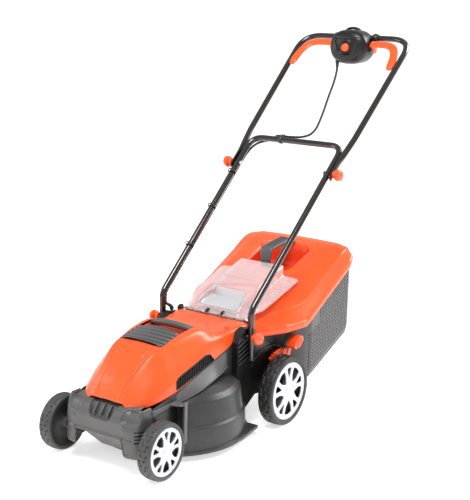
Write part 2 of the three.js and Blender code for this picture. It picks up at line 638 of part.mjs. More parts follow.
/** The hollow inside some slices: thinner walls all round, and open at the slice on the split. */
function ovalHollow(slices, towards, openAt) {
  return ovalLoft(slices.map(([y, half, tall]) => [
    half === SWITCH.half ? openAt : y + towards * SWITCH.wall, half - SWITCH.wall, tall - SWITCH.wall]));
}

const topBarBore = solid(barX(TUBE_R + 0.4, -90, 90, TOP_BAR.y, TOP_BAR.z, 16));
const bailBore = solid(barX(4.4, -90, 90, BAIL_PIVOT.y, BAIL_PIVOT.z, 12));
const buttonBore = solid(slabY(ring(BUTTON.r + 0.4, 16, [0, BUTTON.z]), 600, 650));
const leadExit = [-40, 650];
const leadBore = solid(turned([[0, 960], [LEAD_R + 0.4, 960], [LEAD_R + 0.4, 1000], [0, 1000]], 10, ...leadExit));

piece('switch_box_front',
  cut(ovalLoft(FRONT_SLICES), ovalHollow(FRONT_SLICES, 1, 670), buttonBore, leadBore), 'black');
piece('switch_box_rear',
  cut(ovalLoft(REAR_SLICES), ovalHollow(REAR_SLICES, -1, 655), topBarBore, bailBore), 'black');

/** A round bar along Y on the button's axis. */
const buttonBar = (radius, y0, y1, count = 12) => solid(slabY(ring(radius, count, [0, BUTTON.z]), y0, y1));

piece('lock_off_button', cut(join(buttonBar(BUTTON.r, 622, 640, 16), buttonBar(15.5, 640, 643, 16)),
  buttonBar(7, 628, 650)), 'orange');
piece('button_spring', cut(buttonBar(6, 634, 658), buttonBar(4.4, 630, 662)), 'steel');
piece('switch_unit', block([-16, 658.5, 1016], [16, 670, 1048]), 'black');

for (const [name, side] of sides) {
  const grip = rounded([[75 * side, 668, 1044], [165 * side, 668, 1044], [173 * side, 640, 1018],
    [173 * side, 594, 978]], [22, 34], 4);
  const plate = linkOutline([BAIL_PIVOT.y, BAIL_PIVOT.z], [668, 1044], 8);
  const [a0, a1] = span(side, 74, 80);
  piece(`bail_${name}`, join(solid(pipe(grip, 7, 8)), solid(slabX(plate, a0, a1))), 'orange');
}
piece('bail_link', barX(4, -73.6, 73.6, BAIL_PIVOT.y, BAIL_PIVOT.z, 12), 'steel');

// ---------------------------------------------------------------- lead from the switch to the motor
const clipAt = [361.5, 766.4]; // the lead's centre where it is held on the cross bar
const leadUpper = [
  [-40, 650, 980], [-40, 650, 955], [-38, 638, 930], [-31, 604, 908], [-16, 562, 884], [0, 520, 862],
  [15, 480, 840], [27, 440, 816], [33, 408, 794], [28, 384, 778], [8, 369, 769.5], [-20, 362.5, 767],
  [-49.4, ...clipAt],
];
const leadLower = [
  [-49.8, ...clipAt], [-64, ...clipAt], [-78, 362.5, 765.5], [-94, 366, 757], [-110, 362, 747.5], [-128, 358, 743.5],
  [-145, 348, 735.5], [-156, 332, 721], [-160.5, 305, 697], [-160, 240, 639], [-159, 160, 568],
  [-157.6, 80, 496.5], [-156.4, 0, 425], [-155.2, -60, 371.5], [-155, -84, 350], [-155, -91, 338],
  [-155, -91.5, 327],
];
const leadDeck = [[-155, -91.5, 326.6], [-155, -91.5, 319], [-151, -92, 312], [-141, -90.5, 308], [-135, -90, 304],
  [-134, -90, 298]];
piece('lead_upper', pipe(leadUpper, LEAD_R, 8), 'black');
piece('lead_lower', pipe(leadLower, LEAD_R, 8), 'black');
piece('lead_deck', pipe(leadDeck, LEAD_R, 8), 'black');

const gland = turned([[4, 292.3], [8, 292.3], [8, 294], [5.5, 297.2], [4, 297.2], [4, 292.3]], 10, -134, -90);
piece('lead_gland', gland, 'black');

/** A strap that holds the lead against a tube: a block bored for both. */
function leadClip() {
  const [y, z] = [CROSSBAR.y, CROSSBAR.z];
  const bar = [solid(barX(TUBE_R + 0.2, -70, -40, y, z, 16)), solid(barX(LEAD_R + 0.3, -70, -40, ...clipAt, 10))];
  const strap = join(solid(barX(TUBE_R + 2.2, -62, -50.2, y, z, 16)), solid(barX(6, -62, -50.2, ...clipAt, 10)));
  return cut(strap, ...bar);
}
piece('crossbar_clip', leadClip(), 'black');

// ---------------------------------------------------------------- rear flap
const flapWing = [[-60, 306], [162, 378.6], [163, 375.6], [-60, 303]];
const flapCrown = [[-60, 306], [-52, 321], [17, 362], [60, 378], [175, 409], [176, 406], [176, 372], [-60, 304]];
const flapHollow = [[-56, 296], [-49, 318], [18, 359], [61, 375], [190, 409.5], [190, 360], [-40, 296]];
const flapPlan = symmetric([[104, -70], [104, -50], [130, 0], [138.5, 162], [130, 166], [78, 178]]);

function rearFlap() {
  const wings = solid(slabX(flapWing, -140, 140));
  const crown = solid(slabX(flapCrown, -80, 80));
  const inside = solid(slabX(flapHollow, -77, 77));
  const sheet = cut(join(wings, crown), inside).intersect(solid(slabZ(flapPlan, 280, 430)));
  const barrel = solid(barX(6.2, -104, 104, HINGE.y, HINGE.z, 14));
  return cut(join(sheet, barrel), solid(barX(HINGE.r + GAP, -110, 110, HINGE.y, HINGE.z, 12)));
}
piece('rear_flap', rearFlap(), 'clear');
piece('flap_hinge_rod', barX(HINGE.r, -128, 128, HINGE.y, HINGE.z, 12), 'steel');
piece('flap_spring', cut(solid(barX(6, 105.5, 120.5, HINGE.y, HINGE.z, 12)),
  solid(barX(HINGE.r + GAP, 100, 125, HINGE.y, HINGE.z, 12))), 'steel');

// ---------------------------------------------------------------- grass box
const tubSide = [[-47, 124], [-47, 256], [128, 262], [404, 409], [404, 300], [384, 186], [152, 90],
  [60, 110], [40, 114]];
const tubPlan = symmetric([[116, -47], [116, 64], [148, 84], [183, 142], [190, 162], [190, 372],
  [180, 396], [164, 404]].reverse());
const lidPlan = symmetric([[116, -47], [142, -4], [168, 56], [186, 124], [190, 150], [190, 374],
  [182, 398], [160, 408]].reverse());

/** The tub between its side and plan outlines, drawn in for the hollow. */
function tubBody(inset) {
  const side = inset === 0 ? tubSide : [[-60, 124 + inset], [-60, 300], [128, 300], [402, 430],
    [402 - inset, 300], [382 - inset, 188], [152, 90 + inset * 1.1], [60, 110 + inset], [40, 114 + inset]];
  const plan = tubPlan.map(([x, y]) => [x - Math.sign(x) * inset, y - (y > 390 ? inset : 0)]);
  const stretched = inset === 0 ? plan : plan.map(([x, y]) => [x, y < -40 ? -60 : y]);
  return solid(slabX(side, -195, 195)).intersect(solid(slabZ(stretched, 80, 440)));
}
piece('grass_box_tub', cut(tubBody(0), tubBody(2.6)), 'midGrey');

// Each station along the lid: y, crown, shoulder [x, z], ridge [x, z] and half width at the edge.
const LID = [
  [-47, 287, [80, 286], [110, 281], 130], [0, 302, [90, 301], [124, 300], 150],
  [24, 310, [96, 309], [136, 309], 168], [60, 324, [108, 323], [154, 315], 186],
  [119, 347, [114, 344], [176, 321], 192], [165, 369, [120, 360], [178, 338], 192],
  [200, 393, [120, 380], [176, 357], 192], [280, 427, [125, 414], [173, 398], 192],
  [355, 453, [130, 449], [172, 440], 192], [388, 455, [130, 452], [168, 444], 192],
  [409, 436, [124, 434], [160, 426], 192],
];
const LID_EDGE = [[-60, 256.4], [128, 262.4], [420, 418]];

function lidRing([y, crown, shoulder, ridge, half], inset) {
  const right = [[half - inset, 200 - inset * 4], [half - inset, level(LID_EDGE, y) + 4],
    [ridge[0] - inset, ridge[1] - inset], [shoulder[0], shoulder[1] - inset]];
  return [...right, [0, crown - inset], ...reflect(right)].map(([x, z]) => [x, y, z]);
}

function boxLid() {
  const inset = 2.8;
  const above = [[-60, 256.4], [128, 262.4], [420, 418], [420, 480], [-60, 480]];
  const outer = solid(loft(LID.map((row) => lidRing(row, 0)).reverse()))
    .intersect(solid(slabZ(lidPlan, 190, 480))).intersect(solid(slabX(above, -200, 200)));
  const innerRows = LID.map((row) => [...row]);
  innerRows[0][0] += inset;
  innerRows[innerRows.length - 1][0] -= inset;
  const innerPlan = lidPlan.map(([x, y]) => [x - Math.sign(x) * inset, y > 390 ? y - inset : y]);
  const hollow = solid(loft(innerRows.map((row) => lidRing(row, inset)).reverse()))
    .intersect(solid(slabZ(innerPlan, 100, 480)));
  const pocketPlan = [[-84, 236], [-70, 190], [70, 190], [84, 236], [86, 290], [70, 326], [-70, 326], [-86, 290]];
  const grow = pocketPlan.map(([x, y]) => [x * 1.035, 262 + (y - 262) * 1.045]);
  const pocket = solid(slabZ(pocketPlan, 372, 480));
  const pocketWall = solid(slabZ(grow, 369, 480));
  return cut(outer, cut(hollow, pocketWall), pocket);
}
piece('grass_box_lid', boxLid(), 'orange');

const gripSide = [[192, 372.4], [192, 441], [198, 450], [300, 464], [324, 460], [328, 446], [318, 444],
  [300, 452], [212, 442], [204, 434], [204, 372.4]];
piece('grass_box_handle', slabX(gripSide.reverse(), -20, 20), 'midGrey');

export default mower;
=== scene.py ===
"""A walk-behind electric rotary mower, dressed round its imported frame.

Every size is in millimetres in the maker's frame: +Z is up, the front faces -Y, +X is the side
with the height lever, and y is counted from the rear wheels' axle line. `at` turns such points
into the frame's metres.
"""

import json
import logging
import math
from dataclasses import dataclass
from enum import Enum
from typing import Iterable, Sequence

import bmesh
import bpy
import numpy as np
from mathutils import Matrix, Vector


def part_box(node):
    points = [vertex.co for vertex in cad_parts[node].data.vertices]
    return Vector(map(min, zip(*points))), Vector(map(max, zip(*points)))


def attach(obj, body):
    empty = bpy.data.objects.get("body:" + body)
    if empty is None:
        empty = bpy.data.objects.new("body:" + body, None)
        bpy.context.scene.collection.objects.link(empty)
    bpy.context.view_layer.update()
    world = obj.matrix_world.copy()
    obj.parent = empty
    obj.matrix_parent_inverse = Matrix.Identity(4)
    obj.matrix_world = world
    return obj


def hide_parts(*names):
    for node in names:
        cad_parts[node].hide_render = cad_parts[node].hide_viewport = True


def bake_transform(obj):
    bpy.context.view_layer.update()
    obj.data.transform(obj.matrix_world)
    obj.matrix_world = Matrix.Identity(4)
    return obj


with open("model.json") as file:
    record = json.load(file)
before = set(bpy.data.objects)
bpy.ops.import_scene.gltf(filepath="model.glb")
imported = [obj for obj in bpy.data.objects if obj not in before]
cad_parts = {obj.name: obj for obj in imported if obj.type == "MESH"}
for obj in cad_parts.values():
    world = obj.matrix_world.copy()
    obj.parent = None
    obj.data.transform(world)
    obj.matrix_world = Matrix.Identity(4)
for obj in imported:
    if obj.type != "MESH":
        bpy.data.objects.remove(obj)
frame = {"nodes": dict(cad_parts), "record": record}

Array = np.ndarray
Pair = tuple[float, float]
log = logging.getLogger("mower")

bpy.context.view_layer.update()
MM = 0.001
AXLE_Y = float(sum(corner.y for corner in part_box("rear_wheel_left")) / 2)
SIDES = (("left", 1), ("right", -1))
LENS_MM = 82.74
SENSOR_MM = 36.0


# ------------------------------------------------------------------ number helpers
def at(points: Sequence | Array) -> Array:
    """Frame metres of millimetre points whose y is counted from the rear axle line."""
    return np.asarray(points, float) * MM + (0.0, AXLE_Y, 0.0)


def box_mm(node: str) -> tuple[Array, Array]:
    """Lowest and highest corner of a frame node, in the maker's millimetres."""
    low, high = (np.array(corner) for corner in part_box(node))
    return (low - (0, AXLE_Y, 0)) / MM, (high - (0, AXLE_Y, 0)) / MM


def ease(value: Array, low: float, high: float) -> Array:
    """A smooth step: 0 below low, 1 above high, and 3t^2 - 2t^3 between them."""
    t = np.clip((np.asarray(value, float) - low) / (high - low), 0, 1)
    return t * t * (3 - 2 * t)


def through(knots: Sequence[float], values: Sequence | Array, where: Array) -> Array:
    """A smooth curve through knots: cubic Hermite pieces whose slopes are limited so it never overshoots.

    Args:
        knots: increasing places.
        values: one value, or one row of values, at each knot.
        where: places to evaluate.

    Returns:
        The values at `where`, one row each.
    """
    x = np.asarray(knots, float)
    v = np.asarray(values, float).reshape(len(x), -1)
    gap = np.diff(x)[:, None]
    chord = np.diff(v, axis=0) / gap
    slope = np.vstack([chord[:1], (chord[1:] + chord[:-1]) / 2, chord[-1:]])
    same = (chord[1:] * chord[:-1]) > 0
    limit = 3 * np.minimum(abs(chord[1:]), abs(chord[:-1]))
    slope[1:-1] = np.where(same, np.clip(slope[1:-1], -limit, limit), 0)
    w = np.asarray(where, float)
    i = np.clip(np.searchsorted(x, w) - 1, 0, len(x) - 2)
    t = ((w - x[i]) / gap[i, 0])[:, None]
    out = ((2 * t**3 - 3 * t**2 + 1) * v[i] + (t**3 - 2 * t**2 + t) * gap[i] * slope[i]
           + (3 * t**2 - 2 * t**3) * v[i + 1] + (t**3 - t**2) * gap[i] * slope[i + 1])
    return out if np.ndim(values) > 1 else out[:, 0]


def soften(rows: Array, passes: int, axis: int = 0) -> Array:
    """Round the corners of sampled curves: each pass takes a quarter, half, quarter mean along an axis."""
    out = np.moveaxis(np.array(rows, float), axis, 0)
    for _ in range(passes):
        out[1:-1] = 0.25 * out[:-2] + 0.5 * out[1:-1] + 0.25 * out[2:]
    return np.moveaxis(out, 0, axis)


def run_along(path: Array) -> Array:
    """Distance of each point of a polyline from its first point, along the line."""
    return np.concatenate([[0], np.cumsum(np.linalg.norm(np.diff(path, axis=0), axis=1))])


def resampled(path: Array, where: Array) -> Array:
    """The points of a polyline at given distances along it."""
    run = run_along(path)
    return np.stack([np.interp(where, run, path[:, k]) for k in range(path.shape[1])], axis=1)


def runs_between(corner: Array, counts: Sequence[int]) -> Array:
    """Straight runs of points from each corner to the next, for every row of corners.

    Args:
        corner: rows x corners x 2 points.
        counts: points on each run, its end left out.

    Returns:
        One row of points for each row of corners, the last corner included.
    """
    runs = []
    for k, count in enumerate(counts):
        t = np.linspace(0, 1, count, endpoint=False)[None, :, None]
        runs.append(corner[:, k, None] * (1 - t) + corner[:, k + 1, None] * t)
    return np.concatenate([*runs, corner[:, -1, None]], 1)


def mirrored(half: Array) -> Array:
    """Whole sections from half sections of (x, z) points that end on the middle plane."""
    return np.concatenate([half, half[:, -2::-1] * (-1, 1)], 1)


def round_box(x: Array, y: Array, half_x: float, half_y: float, radius: float) -> Array:
    """Signed distance to a rectangle with round corners about the origin, negative inside."""
    qx, qy = abs(x) - half_x + radius, abs(y) - half_y + radius
    outside = np.hypot(np.maximum(qx, 0), np.maximum(qy, 0))
    return outside + np.minimum(np.maximum(qx, qy), 0) - radius


def inside_polygon(x: Array, y: Array, corners: Sequence[Pair]) -> Array:
    """True where a point lies inside a polygon: an odd number of its edges lie to the right."""
    p = np.asarray(corners, float)
    q = np.roll(p, -1, axis=0)
    hit = np.zeros(np.shape(x), bool)
    for (ax, ay), (bx, by) in zip(p, q):
        crosses = (ay > y) != (by > y)
        hit ^= crosses & (x < (bx - ax) * (y - ay) / (by - ay if by != ay else 1e-9) + ax)
    return hit


def rounded(corners: Sequence, radius: float | Sequence[float], steps: int = 8,
            loop: bool = False) -> Array:
    """A polyline whose corners are replaced by quadratic arcs.

    Args:
        corners: the corner points, in two or three dimensions.
        radius: one radius, or one for each rounded corner.
        steps: points on each arc, less one.
        loop: whether the line closes on itself.

    Returns:
        The points of the rounded line.
    """
    p = np.asarray(corners, float)
    count = len(p)
    places = range(count) if loop else range(1, count - 1)
    radii = np.broadcast_to(radius, (len(places),))
    out = [] if loop else [p[:1]]
    t = np.linspace(0, 1, steps + 1)[:, None]
    for r, i in zip(radii, places):
        back, on = p[i - 1] - p[i], p[(i + 1) % count] - p[i]
        lengths = np.linalg.norm(back), np.linalg.norm(on)
        u, v = back / lengths[0], on / lengths[1]
        half = math.acos(float(np.clip(u @ v, -1, 1))) / 2
        run = min(r / max(math.tan(half), 1e-6), 0.49 * lengths[0], 0.49 * lengths[1])
        a, b = p[i] + u * run, p[i] + v * run
        out.append((1 - t) ** 2 * a + 2 * t * (1 - t) * p[i] + t**2 * b)
    if not loop:
        out.append(p[-1:])
    return np.vstack(out)


def spline(points: Sequence, count: int) -> Array:
    """A Catmull-Rom curve through points, sampled evenly along its length."""
    p = np.asarray(points, float)
    p = np.vstack([2 * p[0] - p[1], p, 2 * p[-1] - p[-2]])
    t = np.linspace(0, 1, 13)[:-1][:, None]
    parts = [0.5 * (2 * b + (c - a) * t + (2 * a - 5 * b + 4 * c - d) * t**2 + (3 * b - a - 3 * c + d) * t**3)
             for a, b, c, d in zip(p, p[1:], p[2:], p[3:])]
    line = np.vstack([*parts, p[-2:-1]])
    return resampled(line, np.linspace(0, run_along(line)[-1], count))


# ------------------------------------------------------------------ mesh helpers
def grid_faces(rows: int, cols: int, close_rows: bool = False, close_cols: bool = False) -> Array:
    """Quads of a rows x cols lattice of vertices, wrapped round where it closes."""
    r = np.arange(rows if close_rows else rows - 1)[:, None]
    c = np.arange(cols if close_cols else cols - 1)[None, :]
    r2, c2 = (r + 1) % rows, (c + 1) % cols
    quads = np.stack(np.broadcast_arrays(r * cols + c, r * cols + c2, r2 * cols + c2, r2 * cols + c), -1)
    return quads.reshape(-1, 4)


def make(name: str, verts: Array, faces: Iterable, weld: float = 1e-6, outward: bool = True) -> bpy.types.Object:
    """Make a mesh object from millimetre vertices: merge doubles and point the faces outwards."""
    mesh = bpy.data.meshes.new(name)
    mesh.from_pydata(at(verts).tolist(), [], [list(map(int, face)) for face in faces])
    work = bmesh.new()
    work.from_mesh(mesh)
    bmesh.ops.remove_doubles(work, verts=work.verts, dist=weld)
    bmesh.ops.dissolve_degenerate(work, dist=weld, edges=work.edges)
    if outward:
        bmesh.ops.recalc_face_normals(work, faces=work.faces)
    work.to_mesh(mesh)
    work.free()
    mesh.shade_smooth()
    made = bpy.data.objects.new(name, mesh)
    bpy.context.scene.collection.objects.link(made)
    return made


def skin(name: str, grid: Array, close_rows: bool = False, close_cols: bool = False,
         outward: bool = True) -> bpy.types.Object:
    """A surface through a rows x cols x 3 grid of points."""
    rows, cols = grid.shape[:2]
    faces = grid_faces(rows, cols, close_rows, close_cols)
    return make(name, grid.reshape(-1, 3), faces, outward=outward)


def sheet_of(name: str, grid: Array, thickness: float, up: Sequence[float] = (0, 0, 1),
             keep: Array | None = None) -> bpy.types.Object:
    """A moulded wall: an open surface turned to face `up` on average, thickened inwards.

    Args:
        name: the piece's name.
        grid: rows x cols x 3 points of the outer face.
        thickness: wall thickness in millimetres.
        up: a direction that the outer face looks towards, or the zero vector to look away from its centre.
        keep: a mask of the lattice's quads that stay, or None for all.

    Returns:
        The mesh object with its Solidify modifier.
    """
    rows, cols = grid.shape[:2]
    faces = grid_faces(rows, cols)
    if keep is not None:
        faces = faces[keep.reshape(-1)]
    flat = grid.reshape(-1, 3)
    a, b, c = flat[faces[:, 0]], flat[faces[:, 1]], flat[faces[:, 2]]
    normals = np.cross(b - a, c - a)
    towards = np.asarray(up, float) if np.any(up) else (a + b + c) / 3 - flat.mean(0)
    if (normals * towards).sum() < 0:
        faces = faces[:, ::-1]
    return thicken(make(name, flat, faces, outward=False), thickness, -1)


def thicken(made: bpy.types.Object, thickness: float, offset: float) -> bpy.types.Object:
    """Give a surface a wall of a thickness in millimetres, inside (-1), outside (1) or both sides (0) of it."""
    wall = made.modifiers.new("wall", "SOLIDIFY")
    wall.thickness = thickness * MM
    wall.offset = offset
    return made


def turned(profile: Sequence | Array, centre: Sequence[float], axis: str, segments: int = 96) -> Array:
    """Grid of a turned surface: [radius, place] pairs carried round the X, Y or Z axis through a centre."""
    p = np.asarray(profile, float)
    angle = np.linspace(0, 2 * np.pi, segments, endpoint=False)[None, :]
    r, a = p[:, :1], np.repeat(p[:, 1:], segments, 1)
    u, v = r * np.cos(angle), r * np.sin(angle)
    cx, cy, cz = centre
    stacks = {"X": (cx + a, cy + u, cz + v), "Y": (cx - u, cy + a, cz + v), "Z": (cx + u, cy + v, cz + a)}
    return np.stack(stacks[axis], -1)


def swept(path: Array, half: Array | float, sides: int = 20, up: Sequence[float] = (0.31, 0.24, 0.92),
          power: float = 1.0) -> Array:
    """Grid of a bar: an oval section carried along a path, square-cornered as power falls below 1.

    Args:
        path: n x 3 points.
        half: the section's half sizes, one number, a pair, or n pairs (across, along up).
        sides: points round the section.
        up: a direction that is never along the path; the section's second size lies towards it.
        power: exponent on the section's cosine and sine.

    Returns:
        An n x sides x 3 grid.
    """
    tangent = np.gradient(path, axis=0)
    tangent /= np.linalg.norm(tangent, axis=1)[:, None]
    across = np.cross(tangent, np.asarray(up, float))
    across /= np.linalg.norm(across, axis=1)[:, None]
    rise = np.cross(across, tangent)
    sizes = np.broadcast_to(half, (len(path), 2))
    angle = np.linspace(0, 2 * np.pi, sides, endpoint=False)
    c, s = (np.sign(f) * abs(f) ** power for f in (np.cos(angle), np.sin(angle)))
    return (path[:, None] + across[:, None] * (sizes[:, :1] * c)[..., None]
            + rise[:, None] * (sizes[:, 1:] * s)[..., None])


def bar(name: str, path: Array, half: Array | float, sides: int = 20, dome: float = 0.35,
        **options: object) -> bpy.types.Object:
    """A closed bar along a path, with softly domed ends."""
    grid = swept(path, half, sides, **options)
    rings = [grid]
    for end, inner in ((0, 1), (-1, -2)):
        middle = grid[end].mean(0)
        out = path[end] - path[inner]
        out = out / np.linalg.norm(out) * np.linalg.norm(grid[end] - middle, axis=1).mean() * dome
        caps = [middle + (grid[end] - middle) * k + out * h for k, h in ((0.92, 0.45), (0.7, 0.85), (0, 1))]
        rings = [np.array(caps[::-1]), *rings] if end == 0 else [*rings, np.array(caps)]
    return skin(name, np.concatenate(rings), close_cols=True)


def slab(name: str, outline: Sequence | Array, axis: str, low: float, high: float, bevel: float = 1.0,
         ) -> bpy.types.Object:
    """A plate: an outline extruded along an axis, with rounded edges.

    The outline holds [y, z] pairs for X, [x, z] pairs for Y and [x, y] pairs for Z.
    """
    p = np.asarray(outline, float)
    count = len(p)
    fill = {"X": lambda a: np.column_stack([np.full(count, a), p]),
            "Y": lambda a: np.column_stack([p[:, 0], np.full(count, a), p[:, 1]]),
            "Z": lambda a: np.column_stack([p, np.full(count, a)])}[axis]
    k = np.arange(count)
    sides = np.stack([k, (k + 1) % count, (k + 1) % count + count, k + count], -1)
    made = make(name, np.vstack([fill(low), fill(high)]), [*sides, k, k + count])
    if bevel:
        soft_edges(made, bevel)
    return made


def side_slab(name: str, outline: Sequence | Array, sign: int, near: float, far: float,
              bevel: float) -> bpy.types.Object:
    """A plate in the fore and aft plane on one side, between two distances from the middle plane."""
    return slab(name, outline, "X", *sorted((sign * near, sign * far)), bevel)


def washer(name: str, profile: Sequence, centre: Sequence[float], axis: str, segments: int) -> bpy.types.Object:
    """A ring: a closed profile of [radius, place] pairs turned round an axis."""
    return skin(name, turned(profile, centre, axis, segments), close_rows=True, close_cols=True)


def soft_edges(made: bpy.types.Object, width: float, segments: int = 3) -> None:
    """Round a piece's sharp edges and keep its flats flat."""
    edge = made.modifiers.new("edges", "BEVEL")
    edge.width = width * MM
    edge.segments = segments
    edge.limit_method = "ANGLE"
    edge.angle_limit = math.radians(35)
    made.modifiers.new("flats", "WEIGHTED_NORMAL").keep_sharp = True


def pierced(name: str, rings: Sequence[Array], thickness: float, bevel: float) -> bpy.types.Mesh:
    """A flat plate with holes and rounded edges: the first ring is its edge and the others are its holes."""
    curve = bpy.data.curves.new(name, "CURVE")
    curve.dimensions = "2D"
    curve.fill_mode = "BOTH"
    curve.extrude = thickness / 2 - bevel
    curve.bevel_depth = bevel
    curve.bevel_resolution = 2
    curve.offset = -bevel
    for ring in rings:
        line = curve.splines.new("POLY")
        line.points.add(len(ring) - 1)
        line.points.foreach_set("co", np.column_stack([ring, np.zeros(len(ring)), np.ones(len(ring))]).ravel())
        line.use_cyclic_u = True
    holder = bpy.data.objects.new(name, curve)
    bpy.context.scene.collection.objects.link(holder)
    graph = bpy.context.evaluated_depsgraph_get()
    mesh = bpy.data.meshes.new_from_object(holder.evaluated_get(graph))
    bpy.data.objects.remove(holder)
    return mesh


def mesh_points(mesh: bpy.types.Mesh) -> Array:
    """The vertices of a mesh as an n x 3 array."""
    flat = np.zeros(len(mesh.vertices) * 3)
    mesh.vertices.foreach_get("co", flat)
    return flat.reshape(-1, 3)


def joined(name: str, parts: Sequence[bpy.types.Object]) -> bpy.types.Object:
    """One object from several, keeping the first one's modifiers."""
    mesh = bpy.data.meshes.new(name)
    work = bmesh.new()
    for part in parts:
        work.from_mesh(part.data)
    work.to_mesh(mesh)
    work.free()
    mesh.shade_smooth()
    whole = parts[0]
    whole.data = mesh
    whole.name = name
    for part in parts[1:]:
        bpy.data.objects.remove(part)
    return whole


# ------------------------------------------------------------------ finishes
class Group(Enum):
    """Shared surface effects, each one a node group."""

    GRAIN = "moulded_grain"
    MARKS = "handling_marks"
    DUST = "settled_dust"
    EDGES = "rubbed_edges"


def _set(node: bpy.types.Node, **inputs: object) -> bpy.types.Node:
    """Set a node's named inputs."""
    for key, value in inputs.items():
        node.inputs[key.replace("_", " ")].default_value = value
    return node


def _node(tree: bpy.types.NodeTree, kind: str, **inputs: object) -> bpy.types.Node:
    """Add a node and set its named inputs."""
    return _set(tree.nodes.new(kind), **inputs)


def _math(tree: bpy.types.NodeTree, operation: str, second: float | None = None) -> bpy.types.Node:
    """Add a math node, with a value for its second input where one is given."""
    made = tree.nodes.new("ShaderNodeMath")
    made.operation = operation
    if second is not None:
        made.inputs[1].default_value = second
    return made


def effect(group: Group) -> bpy.types.NodeTree:
    """The node group of a shared effect, built once.

    GRAIN gives a fine moulded texture's height and a broad mottle, MARKS thin stretched scratches, DUST a
    mask that is strongest near the ground, and EDGES a mask of convex edges.

    Args:
        group: which effect.

    Returns:
        The shader node group.
    """
    if group.value in bpy.data.node_groups:
        return bpy.data.node_groups[group.value]
    tree = bpy.data.node_groups.new(group.value, "ShaderNodeTree")
    face = tree.interface
    face.new_socket("Scale", in_out="INPUT", socket_type="NodeSocketFloat").default_value = 1.0
    source = tree.nodes.new("NodeGroupInput")
    place = tree.nodes.new("ShaderNodeTexCoord").outputs["Object"]
    link = tree.links.new
    if group is Group.GRAIN:
        face.new_socket("Height", in_out="OUTPUT", socket_type="NodeSocketFloat")
        face.new_socket("Mottle", in_out="OUTPUT", socket_type="NodeSocketFloat")
        sink = tree.nodes.new("NodeGroupOutput")
        fine = _node(tree, "ShaderNodeTexNoise", Detail=3.0, Roughness=0.6)
        broad = _node(tree, "ShaderNodeTexNoise", Scale=14.0, Detail=4.0, Roughness=0.55)
        pits = tree.nodes.new("ShaderNodeTexVoronoi")
        blend = _math(tree, "MULTIPLY_ADD", 0.4)
        for texture in (fine, pits):
            link(source.outputs["Scale"], texture.inputs["Scale"])
        for texture in (fine, broad, pits):
            link(place, texture.inputs["Vector"])
        link(pits.outputs["Distance"], blend.inputs[0])
        link(fine.outputs["Fac"], blend.inputs[2])
        link(blend.outputs[0], sink.inputs["Height"])
        link(broad.outputs["Fac"], sink.inputs["Mottle"])
        return tree
    face.new_socket("Mask", in_out="OUTPUT", socket_type="NodeSocketFloat")
    sink = tree.nodes.new("NodeGroupOutput")
    ramp = tree.nodes.new("ShaderNodeMapRange")
    if group is Group.MARKS:
        stretch = _node(tree, "ShaderNodeMapping", Scale=(1.0, 0.06, 0.6), Rotation=(0.5, 0.3, 0.9))
        streak = _node(tree, "ShaderNodeTexNoise", Detail=2.0, Roughness=0.5)
        link(place, stretch.inputs["Vector"])
        link(stretch.outputs["Vector"], streak.inputs["Vector"])
        link(source.outputs["Scale"], streak.inputs["Scale"])
        link(streak.outputs["Fac"], ramp.inputs["Value"])
        _set(ramp, From_Min=0.64, From_Max=0.74)
    elif group is Group.DUST:
        split = tree.nodes.new("ShaderNodeSeparateXYZ")
        patch = _node(tree, "ShaderNodeTexNoise", Detail=5.0, Roughness=0.65)
        low = _node(tree, "ShaderNodeMapRange", From_Min=0.22, From_Max=0.0)
        both = _math(tree, "MULTIPLY")
        link(place, split.inputs[0])
        link(place, patch.inputs["Vector"])
        link(source.outputs["Scale"], patch.inputs["Scale"])
        link(split.outputs["Z"], low.inputs["Value"])
        link(low.outputs[0], both.inputs[0])
        link(patch.outputs["Fac"], both.inputs[1])
        link(both.outputs[0], ramp.inputs["Value"])
        _set(ramp, From_Min=0.15, From_Max=0.75)
    else:
        shape = tree.nodes.new("ShaderNodeNewGeometry")
        sharp = _math(tree, "MULTIPLY")
        link(shape.outputs["Pointiness"], sharp.inputs[0])
        link(source.outputs["Scale"], sharp.inputs[1])
        link(sharp.outputs[0], ramp.inputs["Value"])
        _set(ramp, From_Min=0.53, From_Max=0.62)
    link(ramp.outputs[0], sink.inputs["Mask"])
    return tree


